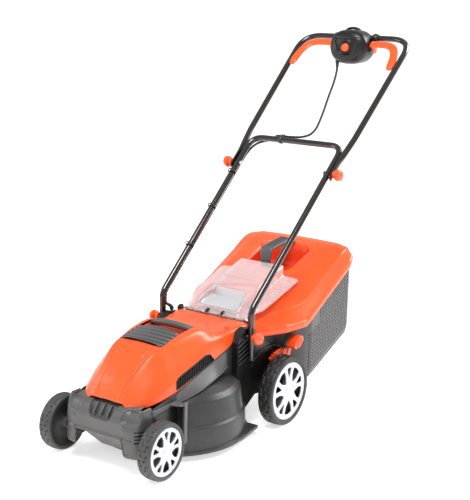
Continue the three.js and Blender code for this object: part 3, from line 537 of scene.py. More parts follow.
@dataclass(frozen=True)
class Finish:
    """One finish of the mower's surfaces.

    Colours are linear red, green and blue; grain is in lumps per metre and depth in millimetres.
    """

    slot: str
    colour: tuple[float, float, float]
    shade: tuple[float, float, float]
    rough: Pair = (0.4, 0.5)
    metal: float = 0.0
    coat: float = 0.0
    grain: float = 900.0
    depth: float = 0.06
    wear: float = 0.1
    dust: float = 0.1
    clear: float = 0.0

    def material(self, name: str) -> bpy.types.Material:
        """Build the finish's material, with mottled colour, rubbed edges, dust, scratches and grain.

        Args:
            name: the material's name.

        Returns:
            The material.
        """
        made = bpy.data.materials.new(name)
        made.use_nodes = True
        tree = made.node_tree
        link = tree.links.new
        shader = _set(tree.nodes["Principled BSDF"], Metallic=self.metal, Coat_Weight=self.coat,
                      Coat_Roughness=0.08, Transmission_Weight=self.clear)
        scales = {Group.GRAIN: self.grain, Group.MARKS: 260.0, Group.DUST: 22.0, Group.EDGES: 1.0}
        effects = {}
        for group, scale in scales.items():
            effects[group] = tree.nodes.new("ShaderNodeGroup")
            effects[group].node_tree = effect(group)
            effects[group].inputs["Scale"].default_value = scale
        colour = (*self.colour, 1)
        worn = tuple(0.55 * c + 0.45 * 0.7 for c in self.colour)
        for group, output, over, amount in ((Group.GRAIN, "Mottle", self.shade, 1.0),
                                            (Group.EDGES, "Mask", worn, self.wear),
                                            (Group.DUST, "Mask", (0.34, 0.30, 0.25), self.dust)):
            colour = self._mixed(tree, colour, (*over, 1), effects[group].outputs[output], amount)
        link(colour, shader.inputs["Base Color"])
        rough = tree.nodes.new("ShaderNodeMapRange")
        rough.inputs["To Min"].default_value, rough.inputs["To Max"].default_value = self.rough
        link(effects[Group.GRAIN].outputs["Mottle"], rough.inputs["Value"])
        scuffed = _math(tree, "MULTIPLY_ADD", 0.12)
        link(effects[Group.MARKS].outputs["Mask"], scuffed.inputs[0])
        link(rough.outputs[0], scuffed.inputs[2])
        link(scuffed.outputs[0], shader.inputs["Roughness"])
        bump = _node(tree, "ShaderNodeBump", Distance=self.depth * MM, Strength=0.6)
        link(effects[Group.GRAIN].outputs["Height"], bump.inputs["Height"])
        link(bump.outputs["Normal"], shader.inputs["Normal"])
        return made

    @staticmethod
    def _mixed(tree: bpy.types.NodeTree, first: object, second: tuple, mask: bpy.types.NodeSocket,
               amount: float) -> bpy.types.NodeSocket:
        """Mix a colour or a socket towards a second colour by a mask times an amount."""
        scaled = _math(tree, "MULTIPLY", amount)
        tree.links.new(mask, scaled.inputs[0])
        mix = tree.nodes.new("ShaderNodeMix")
        mix.data_type = "RGBA"
        tree.links.new(scaled.outputs[0], mix.inputs["Factor"])
        if isinstance(first, tuple):
            mix.inputs[6].default_value = first
        else:
            tree.links.new(first, mix.inputs[6])
        mix.inputs[7].default_value = second
        return mix.outputs[2]


class Surface(Enum):
    """The mower's finishes, by the record's slots."""

    ORANGE = Finish("orange_plastic", (0.86, 0.098, 0.012), (0.78, 0.078, 0.009), (0.30, 0.40), coat=0.25,
                    grain=1500, depth=0.03, wear=0.08, dust=0.05)
    # A darker copy of the orange plastic: painted shade for the hood's well, the screw wells and the lid's sunk pocket.
    DEEP_ORANGE = Finish("orange_plastic", (0.78, 0.065, 0.010), (0.68, 0.05, 0.008), (0.32, 0.42), coat=0.2,
                         grain=1500, depth=0.03)
    DARK = Finish("dark_grey_plastic", (0.034, 0.034, 0.036), (0.026, 0.026, 0.027), (0.34, 0.44),
                  grain=1300, depth=0.10, wear=0.25, dust=0.08)
    GREY = Finish("mid_grey_plastic", (0.105, 0.103, 0.103), (0.082, 0.080, 0.080), (0.34, 0.44),
                  grain=1200, depth=0.10, wear=0.22, dust=0.10)
    BLACK = Finish("black_plastic", (0.006, 0.006, 0.006), (0.010, 0.010, 0.010), (0.26, 0.40),
                   grain=1400, depth=0.08, wear=0.12)
    TUBE = Finish("tube_paint", (0.050, 0.041, 0.038), (0.038, 0.031, 0.029), (0.14, 0.22), metal=0.8,
                  coat=1.0, grain=700, depth=0.015, wear=0.10, dust=0.0)
    TREAD = Finish("tyre_plastic", (0.020, 0.020, 0.021), (0.013, 0.013, 0.014), (0.42, 0.56),
                   grain=800, depth=0.15, wear=0.30, dust=0.10)
    PALE_TREAD = Finish("tyre_plastic", (0.064, 0.064, 0.065), (0.046, 0.046, 0.047), (0.46, 0.60),
                        grain=800, depth=0.15, wear=0.30, dust=0.10)
    SILVER = Finish("silver_plastic", (0.60, 0.61, 0.63), (0.52, 0.53, 0.55), (0.28, 0.38), metal=0.35,
                    coat=0.3, grain=1300, depth=0.02, wear=0.0, dust=0.10)
    STEEL = Finish("zinc_steel", (0.52, 0.53, 0.55), (0.42, 0.43, 0.44), (0.26, 0.40), metal=1.0,
                   grain=600, depth=0.03, wear=0.2)
    CLEAR = Finish("clear_plastic", (1.0, 0.90, 0.91), (1.0, 0.94, 0.945), (0.06, 0.12), coat=0.7,
                   grain=500, depth=0.02, wear=0.5, dust=0.0, clear=0.74)
    COPPER = Finish("copper", (0.62, 0.26, 0.11), (0.42, 0.15, 0.06), (0.3, 0.42), metal=0.9, grain=500)
    LEAD = Finish("lead_rubber", (0.016, 0.016, 0.017), (0.026, 0.026, 0.027), (0.45, 0.6), grain=1600,
                  depth=0.05, wear=0.1, dust=0.0)

    def paint(self, *pieces: bpy.types.Object) -> None:
        """Give this finish to pieces, building its material at first use."""
        name = self.name.lower()
        material = bpy.data.materials.get(name) or self.value.material(name)
        for piece in pieces:
            piece.data.materials.clear()
            piece.data.materials.append(material)


def dress(piece: bpy.types.Object, surface: Surface, body: str, *stands_for: str) -> bpy.types.Object:
    """Paint a piece, let it ride on a body and stand for frame nodes."""
    surface.paint(piece)
    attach(piece, body)
    if stands_for:
        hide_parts(*stands_for)
    log.info("%s rides on %s", piece.name, body)
    return piece


# ------------------------------------------------------------------ camera, light and floor
@dataclass
class Studio:
    """A camera at eye height in front of the mower's left corner, soft lights and a pale floor."""

    azimuth: float = 34.557
    elevation: float = 12.927
    roll: float = 1.361
    place: tuple[float, float, float] = (1.836372, -2.693443, 1.214754)
    floor_radius: float = 60.0

    def camera(self) -> None:
        """Aim the camera by its azimuth, elevation and roll."""
        data = bpy.data.cameras.new("camera")
        data.lens = LENS_MM
        data.sensor_width = SENSOR_MM
        data.clip_end = 200
        eye = bpy.data.objects.new("camera", data)
        a, e, r = (math.radians(v) for v in (self.azimuth, self.elevation, self.roll))
        back = Vector((math.sin(a) * math.cos(e), -math.cos(a) * math.cos(e), math.sin(e)))
        right = Vector((math.cos(a), math.sin(a), 0))
        up = back.cross(right)
        rolled = right * math.cos(r) + up * math.sin(r), up * math.cos(r) - right * math.sin(r)
        turn = Matrix((rolled[0], rolled[1], back)).transposed().to_4x4()
        eye.matrix_world = Matrix.Translation(self.place) @ turn
        bpy.context.scene.collection.objects.link(eye)
        bpy.context.scene.camera = eye

    def lights(self) -> None:
        """An even white surround, and three area lights: key, fill and rim."""
        scene = bpy.context.scene
        scene.view_settings.view_transform = "Standard"
        scene.view_settings.look = "Medium High Contrast"
        scene.view_settings.exposure = 0.12
        world = bpy.data.worlds.new("surround")
        world.use_nodes = True
        nodes, link = world.node_tree.nodes, world.node_tree.links.new
        seen = nodes.new("ShaderNodeLightPath")
        level = _node(world.node_tree, "ShaderNodeMapRange", To_Min=0.56, To_Max=1.05)
        link(seen.outputs["Is Camera Ray"], level.inputs["Value"])
        link(level.outputs[0], nodes["Background"].inputs["Strength"])
        nodes["Background"].inputs["Color"].default_value = (1, 1, 1, 1)
        scene.world = world
        for name, place, size, power in (("key", (0.6, -1.6, 3.6), 1.5, 92), ("fill", (-2.6, -1.6, 1.4), 1.6, 20),
                                         ("rim", (1.6, 2.6, 2.4), 1.6, 70)):
            data = bpy.data.lights.new(name, "AREA")
            data.energy = power
            data.size = size
            lamp = bpy.data.objects.new(name, data)
            lamp.location = place
            lamp.rotation_euler = (Vector((0, 0, 0.4)) - lamp.location).to_track_quat("-Z", "Y").to_euler()
            scene.collection.objects.link(lamp)

    def floor(self) -> None:
        """A pale disc on the ground: rings of growing radius."""
        radius = np.geomspace(0.2, self.floor_radius, 24)[:, None]
        angle = np.linspace(0, 2 * np.pi, 64, endpoint=False)[None, :]
        rings = np.stack([radius * np.cos(angle), radius * np.sin(angle), 0 * radius * angle], -1) / MM
        grid = np.concatenate([np.zeros((1, 64, 3)), rings])
        disc = skin("floor", grid, close_cols=True, outward=False)
        material = bpy.data.materials.new("floor")
        material.use_nodes = True
        _set(material.node_tree.nodes["Principled BSDF"], Base_Color=(0.90, 0.90, 0.90, 1), Roughness=0.65,
             Emission_Color=(1, 1, 1, 1), Emission_Strength=0.46)
        disc.data.materials.append(material)

    def build(self) -> None:
        """Set up the camera, the lights and the floor."""
        self.camera()
        self.lights()
        self.floor()


# ------------------------------------------------------------------ running gear
@dataclass
class Wheel:
    """One road wheel: a moulded tyre with cut blocks, and a silver cap with five forked spokes."""

    end: str
    side: str
    blocks: int = 18
    around: int = 360
    groove: float = 3.2
    spokes: int = 5

    def __post_init__(self) -> None:
        """Take the wheel's place and size from the frame."""
        low, high = box_mm(f"{self.end}_wheel_{self.side}")
        cap_low, cap_high = box_mm(f"{self.end}_hubcap_{self.side}")
        self.radius = float((high - low)[2] / 2)
        self.centre = (low + high) / 2
        self.cap = float((cap_high - cap_low)[2] / 2)
        self.sign = 1 if self.centre[0] > 0 else -1
        self.width = float(high[0] - low[0])
        self.inner = float(low[0] if self.sign > 0 else -high[0])
        self.body = f"{self.end}_wheel_{self.side}_body"

    def tyre(self) -> bpy.types.Object:
        """The tyre and its hub: a closed profile turned about the axle.

        The tread's radius falls by the groove's depth inside bands of the angle and the width, which form
        hooked blocks on either side of the middle.
        """
        w, r, cap = self.width, self.radius, self.cap
        bend = np.linspace(0, np.pi / 2, 6)
        lead = np.column_stack([r - 6 + 4.4 * np.sin(bend), 5.5 - 5 * np.cos(bend)])
        tread_at = np.linspace(6.5, w - 6.5, 27)
        tread = np.column_stack([r - 1.4 * (2 * tread_at / w - 1) ** 2, tread_at])
        tail = np.column_stack([r - 6 + 4.4 * np.cos(bend), w - 5.5 + 5 * np.sin(bend)])
        inner = [[6.4, 3], [15, 3], [15, w / 2 - 3], [cap + 1, w / 2 - 3], [cap + 1, 1.5], [cap + 2, 0.6],
                 [r - 6.5, 0.5]]
        outer = [[r - 6.5, w - 0.5], [cap + 2.6, w - 0.2], [cap + 0.6, w - 1.2], [cap + 0.6, w / 2 + 3],
                 [15, w / 2 + 3], [15, w - 14], [6.4, w - 14]]
        profile = np.vstack([inner, lead, tread, tail, outer])
        first = len(inner) + len(lead)
        angle = np.linspace(0, 1, self.around, endpoint=False)[None, :] * self.blocks
        grid = np.repeat(profile[:, None, :], self.around, 1)
        across = tread_at[:, None] / w
        cut = np.zeros((len(tread_at), self.around), bool)
        for q, s in ((angle % 1, across), ((angle + 0.5) % 1, 1 - across)):
            cut |= (abs(s - 0.31) < 0.036) & (q > 0.14) & (q < 0.66)
            cut |= (abs(q - 0.15) < 0.075) & (s < 0.31)
            cut |= (abs(q - 0.65) < 0.075) & (s > 0.31) & (s < 0.47)
        grid[first:first + len(tread_at), :, 0] -= self.groove * cut
        turn = np.linspace(0, 2 * np.pi, self.around, endpoint=False)
        x = self.sign * (self.inner + grid[..., 1])
        y = self.centre[1] + grid[..., 0] * np.cos(turn)
        z = self.centre[2] + grid[..., 0] * np.sin(turn)
        return skin(f"{self.end}_tyre_{self.side}", np.stack([x, y, z], -1), close_rows=True, close_cols=True)

    def openings(self) -> list[Array]:
        """Outlines of the cap's holes: a narrow one in each fork and a broad one between the forks."""
        def polar(r: float, degrees: float) -> tuple[float, float]:
            angle = math.radians(degrees)
            return r * self.cap * math.cos(angle), r * self.cap * math.sin(angle)

        rings = []
        for k in range(self.spokes):
            spoke = 90 + 72 * k
            fork = [polar(0.44, spoke), polar(0.82, spoke - 10), polar(0.84, spoke), polar(0.82, spoke + 10)]
            bay = [polar(0.31, spoke + 36), polar(0.57, spoke + 19.5), polar(0.82, spoke + 20.5),
                   polar(0.84, spoke + 36), polar(0.82, spoke + 51.5), polar(0.57, spoke + 52.5)]
            rings += [rounded(fork, (3, 5, 5, 5), 5, True), rounded(bay, (5, 8, 5, 5, 5, 8), 5, True)]
        return rings

    def hubcap(self) -> bpy.types.Object:
        """The pierced cap, bulged so that its middle stands proud, with a rim ring and a turned boss."""
        turn = np.linspace(0, 2 * np.pi, 120, endpoint=False)
        edge = np.column_stack([np.cos(turn), np.sin(turn)]) * (self.cap - 0.3)
        mesh = pierced("cap", [edge, *self.openings()], 4.0, 0.7)
        p = mesh_points(mesh)
        face = self.sign * (self.inner + self.width - 5.6)
        reach = np.hypot(p[:, 0], p[:, 1]) / self.cap
        x = face + self.sign * (p[:, 2] + 1.8 * (1 - reach**2))
        turned_points = np.column_stack([x, self.centre[1] + p[:, 0], self.centre[2] + p[:, 1]])
        faces = [tuple(poly.vertices) for poly in mesh.polygons]
        plate = make("plate", turned_points, faces)
        cap = self.cap
        ring = [[cap, -5], [cap, 2.2], [cap - 1.6, 3.3], [cap - 5.2, 3.0], [cap - 6.6, 1.4], [cap - 6.6, -2]]
        boss = [[0, 5.4], [0.1 * cap, 5.2], [0.16 * cap, 4.6], [0.185 * cap, 3.4], [0.2 * cap, 1.0],
                [0.2 * cap, -3], [0, -3]]
        parts = [plate]
        for profile, close in ((ring, True), (boss, False)):
            shaped = np.asarray(profile, float)
            grid = turned(shaped, (0, self.centre[1], self.centre[2]), "X", 96)
            grid[..., 0] = face + self.sign * grid[..., 0]
            parts.append(skin("part", grid, close_rows=close, close_cols=True))
        return joined(f"{self.end}_cap_{self.side}", parts)

    def build(self) -> None:
        """Make and dress both pieces."""
        tread = Surface.PALE_TREAD if self.end == "front" else Surface.TREAD
        dress(self.tyre(), tread, self.body, f"{self.end}_wheel_{self.side}")
        dress(self.hubcap(), Surface.SILVER, self.body, f"{self.end}_hubcap_{self.side}")


@dataclass
class HeightAdjuster:
    """The orange lever with its knob, and the stepped sector that it clicks along."""

    steps: int = 9

    def __post_init__(self) -> None:
        """Take the quadrant's plane and the lever's side from the frame, and set the lever's pivot."""
        low, high = box_mm("height_quadrant")
        self.plane = (float(low[0]), float(high[0]))
        self.pivot = (40.0, 100.0)
        self.lever_x = float(box_mm("height_lever")[0][0])

    def sector(self) -> bpy.types.Object:
        """A fan-shaped plate whose outer edge is a row of square teeth, worked out tooth by tooth."""
        degrees = np.radians(64 + 7 * np.arange(self.steps))[:, None] + np.radians([-2.4, -1.6, 1.6, 2.4])
        radius = np.broadcast_to([98.0, 104.0, 104.0, 98.0], degrees.shape)
        rim = np.stack([self.pivot[0] + radius * np.cos(degrees), self.pivot[1] + radius * np.sin(degrees)], -1)
        foot = [[-2, 176], [22, 112], [26, 92], [54, 92], [58, 112], [74, 170]]
        return slab("adjuster_sector", np.vstack([rim.reshape(-1, 2), foot]), "X", 156, 161, 0.6)

    def lever(self) -> bpy.types.Object:
        """The arm and its thumb knob, two plates with rounded edges and a ribbed grip."""
        arm = rounded([[28, 90], [40, 84], [52, 90], [54, 130], [80, 204], [66, 210], [36, 140]], 7, 4, True)
        knob = rounded([[56, 207], [68, 202], [88, 205], [106, 222], [102, 236], [84, 238], [64, 224]], 6, 5, True)
        parts = [slab("arm", arm, "X", self.lever_x + 0.6, self.lever_x + 5.6, 1.0),
                 slab("knob", knob, "X", self.lever_x + 0.6, self.lever_x + 29, 3.0)]
        for k in range(4):
            y = 72 + 8 * k
            rib = [[y, 203 + 4.5 * k], [y + 3, 204 + 4.5 * k], [y - 1, 236 - 1.5 * k], [y - 4, 235 - 1.5 * k]]
            parts.append(slab("rib", rib, "X", self.lever_x + 28, self.lever_x + 30.5, 0.6))
        return joined("adjuster_lever", parts)

    def build(self) -> None:
        """Make and dress the adjuster."""
        dress(self.sector(), Surface.ORANGE, "root", "height_quadrant")
        dress(self.lever(), Surface.ORANGE, "rear_crank", "height_lever")


# ------------------------------------------------------------------ deck
@dataclass
class Deck:
    """The cutting deck: a stepped drum, the tray under the hood, wheel pods, corner posts and guards."""

    drum_y: float = -256.0
    wall: float = 3.0
    half_tray: float = 124.0

    def drum(self) -> bpy.types.Object:
        """The drum: its stepped profile, softened at the corners, turned about the blade's axis."""
        outer = [[0, 192], [116, 192], [150, 178], [175, 163.5], [187, 151], [194.5, 90], [202, 84.5], [204, 30],
                 [205, 27.5], [211, 26.5], [211.5, 22], [211, 18], [203, 18]]
        inner = [[200.5, 26], [198.5, 82], [191, 87.5], [184.5, 149], [173, 160], [148.5, 174.8], [115.5, 188.6],
                 [0, 188.6]]
        line = rounded(np.array([*outer, *inner]), 4.0, 5)
        return skin("deck_drum", turned(line, (0, self.drum_y, 0), "Z", 192), close_cols=True)

    def tray(self) -> bpy.types.Object:
        """The sloping side panels between the hood's edge and the drum, with a lip at their foot.

        Each panel is a plate in the fore and aft plane whose upper edge follows the hood.
        """
        side = [[-500, 120], [-500, 166], [-480, 171.5], [-396, 186.5], [-166, 251.5], [-97, 288], [-62, 282],
                [-52, 240], [-52, 150], [-160, 172], [-300, 150], [-400, 120]]
        parts = [side_slab("panel", side, sign, 119.5, self.half_tray, 0.8) for sign in (1, -1)]
        deck = [[-500, 130], [-500, 163], [-437, 163], [-376, 190], [-165, 190], [-158, 204], [-80, 284],
                [-74, 284], [-150, 198], [-160, 184], [-376, 184], [-440, 130]]
        parts.append(slab("shelf", deck, "X", -119.6, 119.6, 0.8))
        return joined("deck_tray", parts)

    def lips(self) -> bpy.types.Object:
        """A round bar along the foot of each side panel, and the gusset between it and the panel."""
        parts = []
        for sign in (1, -1):
            route = [[125, -399, 158], [139, -360, 168], [148, -318, 179], [147, -262, 191], [138, -216, 196],
                     [128, -178, 200]]
            path = spline(np.array(route) * (sign, 1, 1), 48)
            parts.append(bar("lip", path, (2.0, 2.4), 12))
            top = path.copy()
            top[:, 0] = sign * 123.5
            top[:, 2] = np.interp(path[:, 1], [-396, -166], [186, 250]) - 1.5
            t = np.linspace(0, 1, 9)[:, None, None]
            parts.append(skin("gusset", path * (1 - t) + top * t, outward=False))
        return joined("deck_side_lips", parts)

    def skirt(self) -> bpy.types.Object:
        """The rim's flat wings, which run back on both sides to in front of the rear wheels."""
        parts = []
        for sign in (1, -1):
            plan = np.array([[120, -256], [210, -256], [208, -205], [193, -113], [120, -113]]) * (sign, 1)
            parts.append(slab("wing", rounded(plan, 5, 4, True), "Z", 18, 26, 1.2))
            lip = np.array([[209.5, -256, 27], [207.5, -205, 27], [199, -150, 27], [192, -116, 27]])
            parts.append(bar("edge", spline(lip * (sign, 1, 1), 24), (1.6, 1.6), 8))
        return joined("deck_skirt", parts)

    def pod(self, name: str, sign: int) -> bpy.types.Object:
        """The bracket that carries the handle and the rear axle: a deep rounded plate with a boss and ribs."""
        outline = rounded([[-150, 120], [-150, 262], [-128, 290], [-72, 292], [-54, 256], [2, 235], [42, 170],
                           [64, 130], [62, 80], [20, 80], [-60, 92], [-110, 62]], 9, 5, True)
        parts = [side_slab("plate", outline, sign, 119.0, 143.6, 3.0)]
        boss = [[0, 145.2], [19, 145.2], [23, 143.5], [24, 140], [24, 120], [0, 120]]
        grid = turned(boss, (0, -108.6, 273), "X", 48)
        grid[..., 0] *= sign
        parts.append(skin("boss", grid, close_cols=True))
        arch = np.radians(np.linspace(18, 148, 40))
        rim = np.column_stack([np.full(40, sign * 145.0), 2 + 118 * np.cos(arch), 100 + 118 * np.sin(arch)])
        rim = rim[(rim[:, 1] > -86) & (rim[:, 2] > 128)]
        parts.append(bar("arch", rim, (3.2, 2.0), 10, up=(1, 0, 0)))
        return joined(f"handle_bracket_{name}", parts)

    def louvres(self, name: str, sign: int) -> bpy.types.Object:
        """Five sloping slats beside the handle's foot."""
        parts = []
        for k in range(5):
            z = 200 + 13.0 * k
            slat = [[-149, z], [-149, z + 2.6], [-91, z + 19.6], [-91, z + 17.0]]
            parts.append(side_slab("slat", slat, sign, 144.0, 148.6, 0.7))
        return joined(f"bracket_louvres_{name}", parts)

    def corner_post(self, name: str, sign: int) -> bpy.types.Object:
        """The plate behind a front wheel: an upright flange, an outer post and a shelf across their tops."""
        cheek = [[-500, 46], [-500, 166], [-396, 166], [-396, 60], [-440, 46]]
        parts = [side_slab("cheek", rounded(cheek, 5, 4, True), sign, 118.5, 127.5, 1.2)]
        shelf = np.array([[124, -432], [156, -420], [156, -396], [124, -396]]) * (sign, 1)
        parts.append(slab("shelf", shelf, "Z", 161, 164.5, 0.8))
        web = np.array([[124, 60], [124, 163], [156, 163], [156, 60]]) * (sign, 1)
        parts.append(slab("web", web, "Y", -399.5, -396, 0.8))
        post = np.array([[150, -406], [157, -406], [157, -393], [150, -393]]) * (sign, 1)
        parts.append(slab("post", post, "Z", 56, 167, 1.4))
        return joined(f"corner_post_{name}", parts)

    def shade(self, name: str, sign: int) -> bpy.types.Object:
        """A black sheet of painted shade over a corner post's flange and web, where it faces the front wheel."""
        cheek = rounded([[-497, 50], [-497, 150], [-400, 160], [-400, 62], [-440, 50]], 5, 4, True)
        web = np.array([[126, 62], [126, 160], [150, 160], [150, 62]]) * (sign, 1)
        parts = [side_slab("cheek", cheek, sign, 127.4, 129.0, 0.5), slab("web", web, "Y", -401.5, -399.2, 0.5)]
        return joined(f"corner_liner_{name}", parts)

    def chute(self) -> bpy.types.Object:
        """The tunnel that throws clippings back: a tapering square tube swept from the drum to the box."""
        rear = [[-116, 66], [116, 66], [116, 277], [-116, 277]]
        front = [[-110, 60], [110, 60], [110, 148], [-110, 148]]
        loops = []
        for grow, order in ((0, 1), (3.0, -1)):
            ends = []
            for corners, y in ((rear, -50), (front, -200)):
                rise = [[0, -grow], [0, -grow], [0, grow], [0, grow]]
                loop = rounded(np.array(corners) + np.sign(corners) * (grow, 0) + rise, 8, 4, True)
                ends.append(np.column_stack([loop[:, 0], np.full(len(loop), y), loop[:, 1]]))
            t = np.linspace(0, 1, 12)[:, None, None]
            loops.append((ends[0] * (1 - t) + ends[1] * t)[::order])
        return skin("deck_chute", np.concatenate(loops), close_rows=True, close_cols=True)

    def guard(self) -> bpy.types.Object:
        """The raked plate under the bumper, with a bead along its lower edge and stiffening ribs."""
        rake = [[-546, 88], [-541, 91], [-455, 29], [-455, 20], [-466, 20]]
        parts = [slab("plate", rake, "X", -72, 72, 1.2)]
        parts.append(bar("bead", np.array([[x, -459, 22.5] for x in np.linspace(-71, 71, 16)]), (3.4, 3.0), 12))
        for x in np.linspace(-58, 58, 5):
            parts.append(slab("rib", [[-538, 84], [-536, 89], [-462, 36], [-462, 28]], "X", x - 1.2, x + 1.2, 0.5))
        return joined("front_guard", parts)

    def ears(self) -> bpy.types.Object:
        """The two lugs that hold the flap's hinge rod."""
        outline = rounded([[-73, 279], [-73, 303], [-67, 308], [-53, 308], [-48, 303], [-48, 279]], 4, 4, True)
        parts = [side_slab("ear", outline, sign, 121.3, 127.2, 0.9) for sign in (1, -1)]
        return joined("hinge_ears", parts)

    def build(self) -> None:
        """Make and dress the deck."""
        dress(self.drum(), Surface.DARK, "root", "deck_shell")
        for piece in (self.tray(), self.skirt(), self.chute(), self.ears()):
            dress(piece, Surface.DARK, "root")
        dress(self.lips(), Surface.GREY, "root")
        for name, sign in SIDES:
            dress(self.pod(name, sign), Surface.BLACK, "root")
            dress(self.louvres(name, sign), Surface.DARK, "root")
            dress(self.corner_post(name, sign), Surface.GREY, "root")
            # A black sheet over the grey corner post, facing the front wheel: painted shade.
            dress(self.shade(name, sign), Surface.BLACK, "root")
        dress(self.guard(), Surface.GREY, "root")


@dataclass
class Bumper:
    """The grey front bumper: a wrapped shell with a central scoop, corner recesses and slots."""

    across: int = 261
    up: int = 141

    def plan(self, s: Array) -> tuple[Array, Array, Array]:
        """Place along the bumper's plan, for s from -1 to 1: x, y and how far it has turned to the side."""
        knots = [0, 0.40, 0.66, 0.76, 0.84, 0.90, 1.0]
        rows = [[0, -562, 0], [62, -562, 0], [104, -558, 0.06], [118, -551, 0.35], [125, -540, 0.8], [127, -528, 1],
                [127, -497, 1]]
        x, y, turn = through(knots, rows, abs(s).ravel()).T
        return np.sign(s).ravel() * x, y, turn

    def shell(self) -> bpy.types.Object:
        """The outer face, wrapped round the plan.

        A point is the plan's point pushed inwards by the upright profile, which is flat in the middle, chamfered
        below and rounded over the top; the sides are pushed less. Recesses are signed-distance steps.
        """
        s, t = np.meshgrid(np.linspace(-1, 1, self.across), np.linspace(0, 1, self.up), indexing="ij")
        x, y, turn = (v.reshape(s.shape) for v in self.plan(s))
        foot = 50 + 42 * (1 - ease(abs(x), 74, 84))
        crown = through([0, 0.3, 0.52, 0.66, 0.8, 0.9, 1.0],
                        [[50, 2.5], [66, 0], [112, 0], [132, 4], [156, 14], [171, 34], [175, 60]], t.ravel())
        z = crown[:, 0].reshape(s.shape)
        z = foot + (z - 50) * (176 - foot) / 126
        depth = crown[:, 1].reshape(s.shape)
        depth = depth * (1 - 0.86 * turn)
        scoop = round_box(x, z - 164, 46 - 0.30 * (176 - z), 30, 10)
        depth = depth + 16 * (1 - ease(scoop, -3.0, 0.5)) * (z < 186) * (1 - ease(z, 168, 176) * 0.4)
        corner = round_box(abs(x) - 96, z - 154, 27, 15, 9)
        depth = depth + 7.5 * (1 - ease(corner, -3.0, 0.6))
        panel = round_box(x, z - 96, 104, 4.5, 4)
        depth = depth - 3.2 * (1 - ease(panel, -2.4, 0.6))
        brow = abs(z - (foot + 7)) < 2.2
        depth = depth - 2.6 * brow * (abs(x) < 96)
        slots = (abs(x) > 113) & (z > 92) & (z < 128) & (((z - 92) % 9) < 4.2) & (turn < 0.97)
        depth = depth + 7.0 * slots
        out_x = x - np.sign(x) * depth * turn
        out_y = np.minimum(y + depth * (1 - 0.9 * turn), -499)
        grid = np.stack([out_x, out_y, z], -1)
        return sheet_of("bumper_shell", grid, 3.2, up=(0, -1, 0.4))

    def fins(self) -> bpy.types.Object:
        """Three curved fins standing in the scoop under the hood's edge."""
        parts = []
        for x in (-23, 0, 23):
            outline = rounded([[-556, 147], [-545, 139], [-533, 140], [-531, 169], [-537, 168]], 2, 4, True)
            parts.append(slab("fin", outline, "X", x - 2.0, x + 2.0, 0.9))
        return joined("bumper_fins", parts)

    def build(self) -> None:
        """Make and dress the bumper."""
        dress(self.shell(), Surface.GREY, "root", "front_bumper")
        dress(self.fins(), Surface.GREY, "root")


